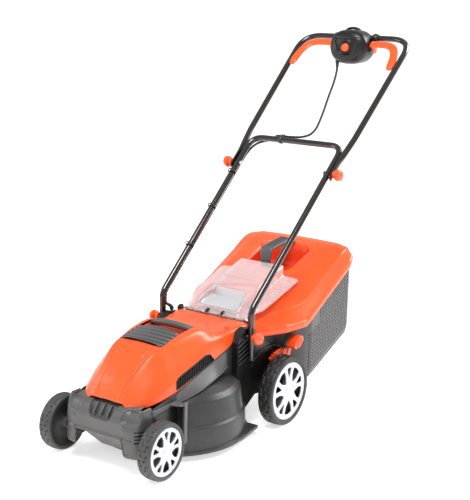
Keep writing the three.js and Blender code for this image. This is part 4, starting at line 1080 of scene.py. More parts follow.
# ------------------------------------------------------------------ motor hood
@dataclass
class Hood:
    """The orange motor hood with its side grilles, ribbed intake, carrying handle and blank badge."""

    front: float = -531.0
    back: float = -72.0
    mouth: tuple[float, float, float] = (70.4, -397.0, -232.0)
    rows: int = 231
    wall: float = 2.6
    stations: tuple = (
        (-531, 180, 53, 178, 62, 172, 66), (-500, 226, 58, 221, 84, 196, 100), (-460, 265, 65, 259, 100, 222, 116),
        (-420, 292, 73, 286, 106, 240, 121), (-380, 305, 78, 299, 108, 250, 123), (-340, 315, 84, 309, 110, 258, 124),
        (-300, 321, 88, 315, 112, 268, 124), (-266, 323, 90, 318, 113, 278, 124), (-236, 316, 92, 312, 114, 282, 124),
        (-214, 297, 94, 300, 114, 284, 124), (-150, 293, 98, 296, 115, 288, 124), (-97, 297, 104, 298, 116, 295, 124),
        (-72, 299, 108, 299, 118, 297, 124))
    edge: tuple = ((-531, 165), (-480, 172), (-396, 187), (-166, 252), (-97, 289), (-66, 292))

    def edge_z(self, y: Array) -> Array:
        """Height of the hood's lower edge."""
        knots = np.array(self.edge)
        return np.interp(y, knots[:, 0], knots[:, 1])

    def section(self, y: Array) -> Array:
        """Half sections from the lower edge to the crown, one row of (x, z) points for each y.

        The corner points of a station are joined by straight runs, and the whole half section is then softened,
        which leaves two crease lines along the hood.
        """
        table = np.array(self.stations, float)
        crown, cx, cz, fx, fz, half = through(table[:, 0], table[:, 1:], y).T
        mouth = np.minimum(self.mouth[0], cx - 2)
        corner = np.stack([
            np.stack([half, self.edge_z(y)], -1), np.stack([fx, fz], -1), np.stack([cx, cz], -1),
            np.stack([mouth, cz + (crown - cz) * 0.35], -1), np.stack([mouth * 0.5, crown - 1.2], -1),
            np.stack([0 * crown, crown], -1)], 1)
        spans = (18, 10, 3, 9, 9)
        line = runs_between(corner, spans)
        bulge = 4.0 * np.sin(np.linspace(0, np.pi, spans[0]))
        line[:, :spans[0], 0] += bulge * ease(-y, 180, 300)[:, None]
        fixed = line[:, sum(spans[:3])].copy()
        line = soften(line, 5, 1)
        line[:, sum(spans[:3])] = fixed
        return line

    def lattice(self) -> tuple[Array, Array]:
        """The whole skin's points, and the fore and aft places of its rows."""
        y = np.unique(np.concatenate([np.linspace(self.front, self.back, self.rows), self.mouth[1:]]))
        half = self.section(y)
        whole = mirrored(half)
        grid = np.stack([whole[..., 0], np.repeat(y[:, None], whole.shape[1], 1), whole[..., 1]], -1)
        return grid, y

    @property
    def vent(self) -> list[Pair]:
        """Outline of a side grille in the fore and aft plane."""
        return [(-396, 192), (-394, 213), (-384, 221), (-268, 254), (-250, 252), (-236, 236), (-238, 231)]

    def shell(self) -> bpy.types.Object:
        """The hood's wall with its mouth and side openings left out, closed over the front end."""
        grid, _ = self.lattice()
        middle = (grid[1:, 1:] + grid[:-1, :-1]) / 2
        x, y, z = middle[..., 0], middle[..., 1], middle[..., 2]
        half, start, stop = self.mouth
        keep = ~((abs(x) < half) & (y > start) & (y < stop))
        keep &= ~((abs(x) > 100) & inside_polygon(y, z, self.vent))
        return sheet_of("hood_shell", grid, self.wall, keep=keep)

    def mouth_walls(self) -> bpy.types.Object:
        """The well under the carrying handle: an upright wall round the hood's mouth, carried down to its floor."""
        half, start, stop = self.mouth
        plan = rounded([(-half, start), (half, start), (half, stop), (-half, stop)], 4, 4, True)
        top = np.interp(plan[:, 1], [-397, -340, -266, -232], [298, 312, 320, 313])
        rings = [np.column_stack([plan, top + 0.4]), np.column_stack([plan, np.full(len(plan), 289)]),
                 np.column_stack([plan * 0.985 + [0, -4.7], np.full(len(plan), 289)]),
                 np.column_stack([plan * 0.985 + [0, -4.7], top - 1])]
        return skin("hood_mouth", np.array(rings), close_rows=True, close_cols=True)

    def flank(self, y: Array, z: Array, sign: int, lift: float) -> Array:
        """Points on a side of the hood at given y and height, lifted outwards by a distance."""
        line = self.section(np.atleast_1d(y))[:, :26]
        x = np.array([np.interp(zi, row[:, 1], row[:, 0]) for zi, row in zip(np.atleast_1d(z), line)])
        return np.column_stack([sign * (x + lift), y, z])

    def grille(self, name: str, sign: int, blades: int = 15) -> bpy.types.Object:
        """A side grille: a sunk backing, a bead round the opening and a row of leaning upright blades."""
        ring = rounded(self.vent, 4, 4, True)
        ring = np.vstack([ring, ring[:1]])
        bead = self.flank(ring[:, 0], ring[:, 1], sign, 0.2)
        parts = [bar("bead", bead, (1.7, 1.5), 8, up=(1, 0.1, 0.1))]
        low = np.array([[-396, 190], [-236, 233]])
        high = np.array([[-396, 212], [-384, 220.5], [-268, 253.5], [-250, 251], [-236, 238]])
        y = np.linspace(-392, -240, 40)
        foot, head = np.interp(y, *low.T), np.interp(y, *high.T)
        back = np.stack([self.flank(y, foot * (1 - t) + head * t, sign, -5.5) for t in np.linspace(0, 1, 5)])
        parts.append(skin("backing", back, outward=False))
        for k in range(blades):
            y = -388 + 9.9 * k
            z0, z1 = float(np.interp(y, *low.T)) + 1, float(np.interp(y + 5, *high.T)) - 1
            rise = np.linspace(0, 1, 6)
            line = self.flank(y + 5 * rise, z0 + (z1 - z0) * rise, sign, -1.6)
            parts.append(bar("blade", line, (1.5, 2.6), 8, power=0.6, up=(1, 0, 0)))
        return joined(f"hood_grille_{name}", parts)

    def intake(self) -> bpy.types.Object:
        """The ribbed intake: a crowned panel with five rounded ribs that bow forwards in the middle."""
        half, start, _ = self.mouth
        s, t = np.meshgrid(np.linspace(-1, 1, 81), np.linspace(0, 1, 161), indexing="ij")
        y = start + 1.5 + 80 * t
        corner = np.clip((14 - (y - start)) / 14, 0, 1)
        x = s * (half - 0.8 - 12 * (1 - np.sqrt(1 - corner**2)))
        bow = 7.0 * (1 - (x / half) ** 2)
        wave = ((y - start + bow * 0.9) / 16.2) % 1
        rib = 8.5 * np.sqrt(np.clip(1 - (2 * np.clip((wave - 0.12) / 0.76, 0, 1) - 1) ** 2, 0, 1))
        edge = ease(abs(x), half - 1, half - 5)
        z = np.interp(y, [-397, -340, -317], [292.5, 305, 309]) + bow * 0.85 + rib * edge
        return sheet_of("intake_ribs", np.stack([x, y, z], -1), 2.5)

    def well_floor(self) -> bpy.types.Object:
        """The floor of the well behind the intake, turned up at its front; its darker orange is painted shade."""
        y = np.array([-318.5, -317.5, -313, -300, -240, -234])
        z = np.array([309, 303, 298, 297, 297, 304])
        x = np.linspace(-69.5, 69.5, 9)
        grid = np.stack([np.repeat(x[:, None], 6, 1), np.repeat(y[None], 9, 0), np.repeat(z[None], 9, 0)], -1)
        return sheet_of("well_floor", grid, 2.0)

    def carry_handle(self) -> bpy.types.Object:
        """The carrying handle: a flattened bar that arches across the well, its section slightly square."""
        x = np.linspace(-71, 71, 60)
        bow = 1 - (x / 71) ** 2
        path = np.column_stack([x, -256 - 7.0 * bow, 309.5 + 9.5 * bow**0.8])
        half = np.column_stack([11.5 + 2.5 * bow, 8.0 + 1.6 * bow])
        return bar("carry_grip", path, half, 28, power=0.8, up=(0, 0.2, 1))

    def top(self, x: Array, y: Array, lift: float) -> Array:
        """Points on the hood's crown above given x and y, lifted by a distance."""
        line = self.section(y[0])
        z = np.stack([np.interp(abs(x[:, k]), row[::-1, 0], row[::-1, 1]) for k, row in enumerate(line)], 1)
        return np.stack([x, y, z + lift], -1)

    def badge(self) -> bpy.types.Object:
        """A blank badge: a slightly raised patch of the crown with round corners."""
        s, y = np.meshgrid(np.linspace(-1, 1, 61), np.linspace(-446, -414, 31), indexing="ij")
        x = s * 46
        edge = round_box(x, y + 430, 45, 15, 4)
        fall = np.stack([0 * x, 0 * x, 1.6 * ease(edge, -1.6, 0.4)], -1)
        return sheet_of("hood_badge", self.top(x, y, 0.9) - fall, 1.0)

    def seams(self) -> bpy.types.Object:
        """Two fine ridges along the crown's creases, from the nose to the intake's corners."""
        parts = []
        for sign in (1, -1):
            y = np.linspace(-527, -408, 60)
            x = sign * np.interp(y, [-531, -500, -420], [36, 41, 60])
            line = self.top(x[None], y[None], 0.0)[0]
            parts.append(bar("seam", line, (1.5, 1.3), 8))
        return joined("hood_seams", parts)

    def screws(self) -> bpy.types.Object:
        """Two sunk screw wells: a ring with a floor, turned about the screw's axis."""
        z = 297.4
        collar = [[6.6, z - 4], [6.6, z], [6.0, z + 0.5], [4.6, z - 0.4], [4.6, z - 6], [0, z - 6], [0, z - 9],
                  [6.6, z - 9]]
        parts = []
        for sign in (1, -1):
            parts.append(washer("collar", collar, (sign * 96, -140, 0), "Z", 32))
        return joined("hood_screw_wells", parts)

    def build(self) -> None:
        """Make and dress the hood."""
        dress(self.shell(), Surface.ORANGE, "root", "motor_hood")
        # The well's walls and floor take the darker orange: painted shade in the recess.
        dress(self.mouth_walls(), Surface.DEEP_ORANGE, "root")
        dress(self.well_floor(), Surface.DEEP_ORANGE, "root")
        dress(self.intake(), Surface.GREY, "root", "intake_cover")
        dress(self.carry_handle(), Surface.GREY, "root", "carry_handle")
        dress(self.badge(), Surface.ORANGE, "root")
        dress(self.seams(), Surface.ORANGE, "root")
        # The screw wells take the darker orange: painted shade in the sunk wells.
        dress(self.screws(), Surface.DEEP_ORANGE, "root")
        for name, sign in SIDES:
            dress(self.grille(name, sign), Surface.BLACK, "root", f"side_vent_{name}")


# ------------------------------------------------------------------ handle
@dataclass
class Handle:
    """The folding handle: a lower bow, an upper bow with flattened feet, and four round knobs."""

    tube: float = 9.5
    pivot: Pair = (-108.6, 273.0)
    knee: Pair = (-107.0, 347.0)
    crossbar: Pair = (351.0, 756.0)
    mid: Pair = (270.0, 683.0)
    top: Pair = (700.0, 1062.0)

    def __post_init__(self) -> None:
        """Work out the direction up the sloping handle and the normal of its plane."""
        run = np.subtract(self.crossbar, self.knee)
        self.slope = run / np.linalg.norm(run)
        self.normal = (0.0, -self.slope[1], self.slope[0])

    def along(self, distance: float) -> Pair:
        """The y and z of a point up the slope from the upper fold."""
        return tuple(np.add(self.mid, self.slope * distance))

    def lower(self) -> bpy.types.Object:
        """The lower bow: a round tube carried up one side, across and down the other."""
        left = [(155, -101, 206), (155, *self.knee), (162, *self.crossbar)]
        right = [(-x, y, z) for x, y, z in reversed(left)]
        path = rounded([*left, *right], (38, 43, 43, 38), 14)
        return bar("lower_tube", path, (self.tube, self.tube), 28, up=self.normal, dome=0.2)

    def upper(self) -> bpy.types.Object:
        """The upper bow: its section turns from round to a flat oval over the last few centimetres of each foot."""
        left = [(176, *self.along(-16)), (176.5, *self.along(50)), (186, *self.along(140)), (198.4, *self.top)]
        right = [(-x, y, z) for x, y, z in reversed(left)]
        path = rounded([*left, *right], (160, 160, 69, 69, 160, 160), 16)
        run, foot = run_along(path)[-1], 110
        even = np.unique(np.concatenate([np.linspace(0, foot, 40), np.linspace(foot, run - foot, 120),
                                         np.linspace(run - foot, run, 40)]))
        path = resampled(path, even)
        round_share = ease(np.minimum(even, run - even), 42, 95)
        half = np.column_stack([4.2 + (self.tube - 4.2) * round_share, 12.0 - 2.5 * round_share])
        return bar("upper_tube", path, half, 28, up=self.normal, dome=0.3)

    @staticmethod
    def knob(name: str, centre: Sequence[float], sign: int) -> bpy.types.Object:
        """A knob: a round mushroom head, swollen slightly to two sides, with a slot across its face."""
        rows = np.array([[0, 0, 0], [0, 11, 0], [5, 11.6, 0], [8, 13.0, 0.1], [10, 15.5, 0.2], [13, 17.5, 0.3],
                         [19, 17.6, 0.34], [23, 15.2, 0.34], [25.5, 11.0, 0.3], [26.6, 6.0, 0.2], [26.8, 0, 0]])
        t = np.linspace(0, len(rows) - 1, 70)
        a, r, lobe = (np.interp(t, np.arange(len(rows)), rows[:, k])[:, None] for k in range(3))
        angle = np.linspace(0, 2 * np.pi, 72, endpoint=False)[None, :]
        wings = np.cos(angle + 0.45) ** 2
        reach = r * (1 + 0.85 * lobe * wings**1.4) * (1 - 0.10 * lobe * (1 - wings))
        slot = ease(-abs(np.sin(angle + 0.45)) * reach, -2.6, -1.4) * ease(a, 20, 24)
        tip = a + 1.6 * lobe * wings * (a > 12) - 3.4 * slot
        y, z = centre[1] + reach * np.cos(angle), centre[2] + reach * np.sin(angle)
        return skin(name, np.stack([centre[0] + sign * tip, y, z], -1), close_cols=True)

    def ties(self) -> bpy.types.Object:
        """Three bands that hold the lead to the right tube, each an oval loop square to the tube."""
        parts = []
        normal, angle = np.array(self.normal), np.linspace(0, 2 * np.pi, 40, endpoint=False)
        for distance in (-330.0, -180.0, -40.0):
            y, z = self.along(distance)
            share = (y - self.knee[0]) / (self.crossbar[0] - self.knee[0])
            middle = np.array([-(155 + 7 * share), y, z]) + normal * 3.0
            loop = (middle + np.cos(angle)[:, None] * np.array([11.2, 0, 0]) + np.sin(angle)[:, None] * normal * 14.5)
            out = loop - middle
            out /= np.linalg.norm(out, axis=1)[:, None]
            up = np.array([0, *self.slope])
            section = ((0, -2.2), (1.3, -2.0), (1.5, 0), (1.3, 2.0), (0, 2.2), (-0.6, 0))
            ring = [loop + out * a + up * b for a, b in section]
            parts.append(skin("tie", np.array(ring), close_rows=True, close_cols=True))
        return joined("lead_ties", parts)

    def build(self) -> None:
        """Make and dress the handle."""
        dress(self.lower(), Surface.TUBE, "lower_handle", "lower_handle_tube")
        dress(self.upper(), Surface.TUBE, "upper_handle", "upper_handle_tube")
        dress(self.ties(), Surface.BLACK, "lower_handle")
        for name, sign in SIDES:
            for level, fold, x in (("lower", self.pivot, 165.0), ("mid", self.mid, 180.4)):
                knob = self.knob(f"{level}_wing_{name}", (sign * x, *fold), sign)
                dress(knob, Surface.ORANGE, f"{level}_knob_{name}_body", f"{level}_knob_{name}")


@dataclass
class SwitchBox:
    """The oval switch box on the top bar, its lock-off button, and the orange bail."""

    mid_z: float = 1033.0
    top: Pair = (700.0, 1062.0)
    pivot: Pair = (682.0, 1022.0)

    def oval(self, rows: Sequence, count: int) -> Array:
        """Loft of squarish ovals given as (y, half width, half height), with smooth curves between them."""
        table = np.array(rows, float)
        y, half, tall = through(np.arange(len(table)), table, np.linspace(0, len(table) - 1, count)).T
        angle = np.linspace(0, 2 * np.pi, 128, endpoint=False)
        c, s = np.cos(angle), np.sin(angle)
        x = half[:, None] * np.sign(c) * abs(c) ** 0.78
        z = self.mid_z + tall[:, None] * np.sign(s) * abs(s) ** 0.9
        return np.stack([x, np.repeat(y[:, None], 128, 1), z], -1)

    def front(self) -> bpy.types.Object:
        """The front shell, with a shield-shaped hollow round the button and a ledge above it."""
        rows = [(661.6, 62, 50), (661.6, 66, 54), (655, 66.4, 54.4), (644, 64.6, 52.8), (635, 58, 47), (629, 48, 38),
                (626.6, 34, 21), (625.8, 18, 11), (625.6, 0, 0)]
        grid = self.oval(rows, 110)
        x, y, z = grid[..., 0], grid[..., 1], grid[..., 2] - self.mid_z
        shield = round_box(x, z - 2, 34 + 0.42 * z, 27, 15)
        facing = ease(-y, -640, -631)
        y = y + 5.0 * (1 - ease(shield, -3.5, 0)) * facing
        collar = np.hypot(x, (z + 1) * np.where(z > -1, 0.72, 1.0))
        y = y - 4.5 * (1 - ease(abs(collar - 16.5), 1.6, 3.6)) * facing
        ledge = abs(z - 30) < 1.6
        y = y + 1.0 * ledge * facing * (abs(x) < 44)
        return skin("switch_front", np.stack([x, y, grid[..., 2]], -1), close_cols=True)

    def rear(self) -> bpy.types.Object:
        """The rear shell, domed behind, with a hoop on top that keeps the extension lead from pulling."""
        rows = [(662.4, 62, 50), (662.4, 66, 54), (672, 66.4, 54.4), (700, 65, 53), (712, 59, 47.5), (719, 49, 37.5),
                (722, 30, 20), (722.6, 0, 0)]
        parts = [skin("rear", self.oval(rows, 80), close_cols=True)]
        turn = np.linspace(0, np.pi, 30)
        hoop = np.column_stack([-8 - 25 * np.cos(turn), 690 + 0 * turn, 1080 + 12 * np.sin(turn)])
        parts.append(bar("hoop", hoop, (4.2, 9.0), 12, up=(0, 1, 0)))
        for sign in (1, -1):
            sleeve = [[9.6, 64], [14.5, 64], [14.5, 72], [13.2, 74], [13.2, 77], [12.2, 79], [9.6, 79]]
            grid = turned(sleeve, (0, *self.top), "X", 40)
            grid[..., 0] *= sign
            parts.append(skin("sleeve", grid, close_rows=True, close_cols=True))
        return joined("switch_rear", parts)

    def button(self) -> bpy.types.Object:
        """The lock-off button: a domed cap turned about the fore and aft axis, with a thumb hollow."""
        profile = [[0, 640], [15, 640], [15, 637], [13, 636], [13, 624], [12, 621.4], [9.5, 619.6], [6, 619.6],
                   [3, 620.2], [0, 620.4]]
        line = rounded(profile, 1.2, 4)
        return skin("thumb_button", turned(line, (0, 0, self.mid_z - 1), "Y", 64), close_cols=True)

    def bail(self, name: str, sign: int) -> bpy.types.Object:
        """One half of the bail: a flattened grip beside the top bar that hooks down at its end, and its arm."""
        path = spline(np.array([(72, 668, 1044), (104, 668, 1044), (134, 666, 1042), (156, 655, 1033), (169, 635, 1015),
                                (175, 612, 994), (177, 590, 974)]) * (sign, 1, 1), 80)
        even = np.linspace(0, run_along(path)[-1], 90)
        path = resampled(path, even)
        share = even / even[-1]
        half = np.column_stack([13.0 - 4.0 * ease(share, 0.9, 1), 6.0 - 1.8 * ease(share, 0.9, 1)])
        grip = bar("grip", path, half, 24, power=0.85, up=(0.02, -0.66, 0.75))
        plate = rounded([(676, 1014), (690, 1018), (689, 1030), (676, 1052), (662, 1052), (661, 1040)], 5, 4, True)
        arm = side_slab("arm", plate, sign, 73.5, 80.5, 0)
        return joined(f"bail_grip_{name}", [grip, arm])

    def build(self) -> None:
        """Make and dress the switch box and the bail."""
        dress(self.front(), Surface.BLACK, "upper_handle", "switch_box_front")
        dress(self.rear(), Surface.BLACK, "upper_handle", "switch_box_rear")
        dress(self.button(), Surface.ORANGE, "button", "lock_off_button")
        for name, sign in SIDES:
            dress(self.bail(name, sign), Surface.ORANGE, "bail", f"bail_{name}")


@dataclass
class SwitchLead:
    """The black lead from the switch box to the motor.

    It hangs to the crossbar's clip, then follows the right tube down to the deck.
    """

    radius: float = 3.5
    upper_points: tuple = (
        (-40, 650, 980), (-40, 648, 955), (-37, 632, 928), (-29, 602, 903), (-16, 562, 880), (0, 520, 860),
        (15, 480, 840), (27, 440, 816), (33, 408, 794), (28, 384, 778), (8, 369, 769.5), (-20, 362.5, 767),
        (-49.4, 361.5, 766.4))
    lower_points: tuple = (
        (-49.8, 361.5, 766.4), (-64, 361.5, 766.4), (-78, 362.5, 765.5), (-94, 366, 757), (-110, 362, 747.5),
        (-128, 358, 743.5), (-145, 348, 735.5), (-156, 332, 721), (-160.5, 305, 697), (-160, 240, 639),
        (-159, 160, 568), (-157.6, 80, 496.5), (-156.4, 0, 425), (-155.2, -60, 371.5), (-155, -84, 350),
        (-155, -91, 338), (-155, -91.5, 326.6), (-155, -91.5, 319), (-151, -92, 312), (-141, -90.5, 308),
        (-135, -90, 304), (-134, -90, 298))

    def strand(self, name: str, points: Sequence, count: int) -> tuple[bpy.types.Object, Array]:
        """One painted stretch of the lead, a round section along a smooth curve, and its line in frame metres."""
        path = spline(points, count)
        piece = bar(name, path, (self.radius, self.radius), 14, dome=0.05)
        Surface.LEAD.paint(piece)
        return piece, at(path)

    def hanging(self) -> None:
        """The free stretch, which hangs between the two halves of the handle."""
        piece, line = self.strand("lead_hanging", self.upper_points, 170)
        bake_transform(piece)
        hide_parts("lead_upper")

    def clipped(self) -> None:
        """The stretch along the crossbar and the right tube, which turns into the deck past the lower fold."""
        piece, line = self.strand("lead_clipped", self.lower_points, 300)
        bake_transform(piece)
        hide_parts("lead_lower", "lead_deck")

    def fittings(self) -> None:
        """The clip on the crossbar, the bush under the switch box and the tapered relief at the deck."""
        parts = []
        for radius, width, (y, z) in ((9.6, 2.2, (351.0, 756.0)), (3.6, 2.2, (361.5, 766.4))):
            ring = [[radius, -62], [radius + width, -61], [radius + width, -51.4], [radius, -50.4]]
            parts.append(washer("loop", ring, (0, y, z), "X", 40))
        dress(joined("bar_clip", parts), Surface.BLACK, "lower_handle", "crossbar_clip")
        bush = [[3.6, 992], [7, 992], [6.6, 984], [6.6, 981], [5.6, 980], [5.6, 976], [4.9, 975], [4.9, 968],
                [3.7, 966]]
        dress(washer("lead_bush", bush, (-40, 650, 0), "Z", 32), Surface.BLACK, "upper_handle")
        path = spline(self.lower_points[-6:], 60)[::-1][:34]
        share = np.linspace(0, 1, len(path))
        size = 6.6 - 2.6 * share + 0.5 * (np.sin(share * 44) > 0)
        dress(bar("lead_relief", path, np.column_stack([size, size]), 20), Surface.BLACK, "root", "lead_gland")

    def build(self) -> None:
        """Make the lead and its fittings."""
        self.hanging()
        self.clipped()
        self.fittings()


# ------------------------------------------------------------------ rear flap and grass box
@dataclass
class RearFlap:
    """The clear rear flap on its sprung hinge, with a raised middle, a window recess and ridged wings."""

    hinge: Pair = (-60.0, 300.0)

    @staticmethod
    def half_width(y: Array) -> Array:
        """Half the flap's width at y."""
        return np.interp(y, [-70, -50, 0, 162, 178], [104, 106, 130, 138.5, 139])

    @staticmethod
    def window(x: Array, y: Array) -> Array:
        """Signed distance to the window's outline: a rectangle with round corners that narrows to the rear."""
        squeeze = np.interp(y, [-50, 20], [1.0, 1.24])
        return round_box(x * squeeze, y + 17, 70, 33, 13)

    def height(self, x: Array, y: Array) -> Array:
        """Height of the flap: sloping wings, a raised middle that steps up at its sides, and the sunk window."""
        wing = np.interp(y, [-66, -60, 162, 178], [304, 306, 378.6, 383])
        crown = through([-66, -60, -50, 17, 60, 178], [304, 307, 321, 362, 378, 410], y.ravel()).reshape(y.shape)
        z = wing + (crown - wing) * (1 - ease(abs(x), 75, 82))
        ridge = self.half_width(y) - abs(x)
        for inset in (10, 19, 28):
            z = z + 1.6 * (1 - ease(abs(ridge - inset), 1.2, 3.4)) * ease(y, -40, -25)
        floor = 312 + 0.30 * (y + 50)
        inside = 1 - ease(self.window(x, y), -3.5, 1.0)
        z = np.where(z > floor, z + (floor - z) * inside, z)
        brow = abs(y - 66) < 3.5
        return z - 1.5 * brow * (abs(x) < 76)

    def sheet(self) -> bpy.types.Object:
        """The moulded sheet: its height function over a plan that widens to the rear, rolled at the hinge."""
        s, t = np.meshgrid(np.linspace(-1, 1, 181), np.linspace(0, 1, 161), indexing="ij")
        rough_y = -66 + 244 * t
        x = s * self.half_width(rough_y)
        end = np.interp(abs(x), [70, 84, 130, 139], [178, 172, 166, 160])
        y = -66 + (end + 66) * t
        grid = np.stack([x, y, self.height(x, y)], -1)
        return sheet_of("flap_sheet", grid, 2.4)

    def panel(self) -> bpy.types.Object:
        """The silvery panel under the window: a shallow dished plate just below the recess's floor."""
        s, t = np.meshgrid(np.linspace(-1, 1, 41), np.linspace(0, 1, 61), indexing="ij")
        y = -53 + 65 * np.minimum(t / 0.75, 1) + 2.0 * ease(t, 0.75, 1)
        x = s * (70 - 13 * np.minimum(t / 0.75, 1))
        z = 313 + 0.30 * (y + 50) + 2.9 - 0.8 * (s**2) + 24 * ease(t, 0.74, 1)
        z = z + 9 * ease(abs(s), 0.9, 1) * ease(t, 0.05, 0.3) * (1 - ease(t, 0.7, 0.8))
        return sheet_of("flap_window_panel", np.stack([x, y, z], -1), 1.2)

    def barrel(self) -> bpy.types.Object:
        """The hinge barrel: a row of short sleeves round the rod."""
        parts = []
        for k in range(7):
            x = -104 + k * 30.0
            sleeve = [[3.4, x], [6.2, x], [6.4, x + 1], [6.4, x + 26], [6.2, x + 27], [3.4, x + 27]]
            parts.append(washer("sleeve", sleeve, (0, *self.hinge), "X", 32))
        return joined("flap_barrel", parts)

    def clips(self) -> bpy.types.Object:
        """Two dark hinge clips in front of the window."""
        parts = []
        for x in (-26, 26):
            outline = rounded([(-70, 303), (-66, 309), (-56, 313), (-50, 309), (-60, 303)], 2, 3, True)
            parts.append(slab("clip", outline, "X", x - 4, x + 4, 0.8))
        return joined("flap_clips", parts)

    def spring(self) -> bpy.types.Object:
        """The closing spring: a wire wound five times round the hinge rod."""
        turn = np.linspace(0, 2 * np.pi * 5, 160)
        path = np.column_stack([106.5 + 13.0 * turn / turn[-1], self.hinge[0] + 5.6 * np.cos(turn),
                                self.hinge[1] + 5.6 * np.sin(turn)])
        return bar("closing_spring", path, (1.6, 1.6), 10, up=(1, 0, 0))

    def build(self) -> None:
        """Make and dress the flap."""
        dress(self.sheet(), Surface.CLEAR, "flap", "rear_flap")
        dress(self.barrel(), Surface.CLEAR, "flap")
        dress(self.panel(), Surface.SILVER, "flap")
        dress(self.clips(), Surface.BLACK, "flap")
        dress(self.spring(), Surface.STEEL, "root", "flap_spring")


@dataclass
class GrassBox:
    """The grass box: a perforated tub, a glossy lid with a sunk pocket, and its ribbed grip."""

    pitch: float = 9.2
    rows_up: int = 19
    hole: float = 0.60
    pocket_floor: float = 372.0
    plan: tuple = ((116, -47), (116, 64), (148, 84), (183, 142), (190, 162), (190, 372), (180, 396), (160, 404))
    lid_plan: tuple = (
        (122, -47), (152, -10), (180, 44), (193.5, 112), (195.5, 150), (195.5, 372), (188, 398), (162, 410))
    stations: tuple = (
        (-47, 287, 80, 286, 110, 281), (0, 302, 90, 301, 124, 300), (24, 310, 96, 309, 136, 309),
        (60, 326, 108, 325, 164, 318), (119, 349, 124, 346, 182, 326), (165, 371, 134, 364, 184, 343),
        (200, 393, 138, 384, 183, 361), (280, 427, 140, 418, 182, 401), (355, 453, 140, 449, 180, 440),
        (388, 455, 138, 452, 174, 444), (411, 438, 130, 436, 164, 428))

    @staticmethod
    def rim(y: Array) -> Array:
        """Height of the seam between the tub and the lid."""
        return np.interp(y, [-47, 128, 410], [256, 262, 412])

    @staticmethod
    def keel(y: Array) -> Array:
        """Height of the tub's underside."""
        return np.interp(y, [-47, 40, 60, 152, 384], [124, 114, 110, 90, 186])

    def wall(self) -> bpy.types.Object:
        """The tub's wall: a lattice of cells round the plan, each plain or pierced by an eight-sided hole.

        The plan's loop is carried up from the keel to the rim, and leans inwards low down at the rear. A pierced
        cell joins its eight border points to eight points on its hole.
        """
        half = [(x, y) for x, y in self.plan]
        loop = rounded([*half, *[(-x, y) for x, y in reversed(half)]], 10, 4, True)
        loop = np.vstack([loop, loop[:1]])
        run = run_along(loop)[-1]
        cells = int(run / self.pitch)
        x, y = resampled(loop, np.linspace(0, run, 2 * cells, endpoint=False)).T[..., None]
        v = np.linspace(0, 1, 2 * self.rows_up + 1)[None, :]
        low = self.keel(np.minimum(y, 384))
        z = low + v * (self.rim(y) - low)
        lean = 384 + 22 * np.clip((z - 186) / 114, 0, 1)
        tuck = 1 - 0.045 * (1 - np.minimum(v / 0.07, 1)) ** 2
        lattice = np.stack([x * tuck + 0 * z, np.minimum(y + 0 * z, lean), z], -1)
        rows, cols = lattice.shape[:2]
        i, j = np.meshgrid(np.arange(cells), np.arange(self.rows_up), indexing="ij")
        i, j = i.ravel(), j.ravel()
        step = np.array([(0, 0), (1, 0), (2, 0), (2, 1), (2, 2), (1, 2), (0, 2), (0, 1)])
        border = ((2 * i[:, None] + step[:, 0]) % rows) * cols + 2 * j[:, None] + step[:, 1]
        centre = ((2 * i + 1) % rows) * cols + 2 * j + 1
        flat = lattice.reshape(-1, 3)
        middle = flat[centre]
        face = (abs(middle[:, 0]) > 176) & (middle[:, 1] > 150) & (middle[:, 1] < 376)
        face |= (middle[:, 1] > 378) & (abs(middle[:, 0]) < 160)
        share = (j + 0.5) / self.rows_up
        pierced_cell = face & (share > 0.08) & (share < 0.93) & ~((middle[:, 1] < 205) & (share > 0.74))
        mouth = (middle[:, 1] < -46) & (abs(middle[:, 0]) < 112)
        plain = ~pierced_cell & ~mouth
        b, c = border[plain], centre[plain]
        faces = [np.stack([b[:, 0], b[:, 1], c, b[:, 7]], 1), np.stack([b[:, 1], b[:, 2], b[:, 3], c], 1),
                 np.stack([c, b[:, 3], b[:, 4], b[:, 5]], 1), np.stack([b[:, 7], c, b[:, 5], b[:, 6]], 1)]
        b, m = border[pierced_cell], middle[pierced_cell]
        along = (flat[b[:, 3]] - flat[b[:, 7]]) / 2
        rise = (flat[b[:, 5]] - flat[b[:, 1]]) / 2
        angle = np.radians(-135 + 45 * np.arange(8))
        c, s = np.cos(angle)[:, None], np.sin(angle)[:, None]
        ring = m[:, None] + self.hole * (c * along[:, None] + s * rise[:, None])
        hole = len(flat) + np.arange(len(m) * 8).reshape(-1, 8)
        k = np.arange(8)
        faces.append(np.stack([b[:, k], b[:, (k + 1) % 8], hole[:, (k + 1) % 8], hole[:, k]], -1).reshape(-1, 4))
        made = make("tub_wall", np.vstack([flat, ring.reshape(-1, 3)]), np.concatenate(faces), outward=False)
        return thicken(made, 2.4, 1 if self._faces_inwards(made) else -1)

    @staticmethod
    def _faces_inwards(made: bpy.types.Object) -> bool:
        """Whether a wall's faces look towards its own middle."""
        mesh = made.data
        count = len(mesh.polygons)
        centre, normal = np.zeros(count * 3), np.zeros(count * 3)
        mesh.polygons.foreach_get("center", centre)
        mesh.polygons.foreach_get("normal", normal)
        centre, normal = centre.reshape(-1, 3), normal.reshape(-1, 3)
        return float(((centre - centre.mean(0)) * normal).sum()) < 0

    def floor(self) -> bpy.types.Object:
        """The tub's underside: the keel's height over the plan, with shallow ribs across it."""
        y = np.linspace(-46, 384, 120)
        plan = np.array(self.plan, float)
        width = np.interp(y, plan[:, 1], plan[:, 0]) - 3
        s = np.linspace(-1, 1, 61)[:, None]
        rib = 1.6 * ((y % 42) < 5)
        grid = np.stack([s * width, y + 0 * s, self.keel(y) + 0 * s - rib * (abs(s) < 0.8) + 0.8], -1)
        return sheet_of("tub_floor", grid, 2.4, up=(0, 0, -1))

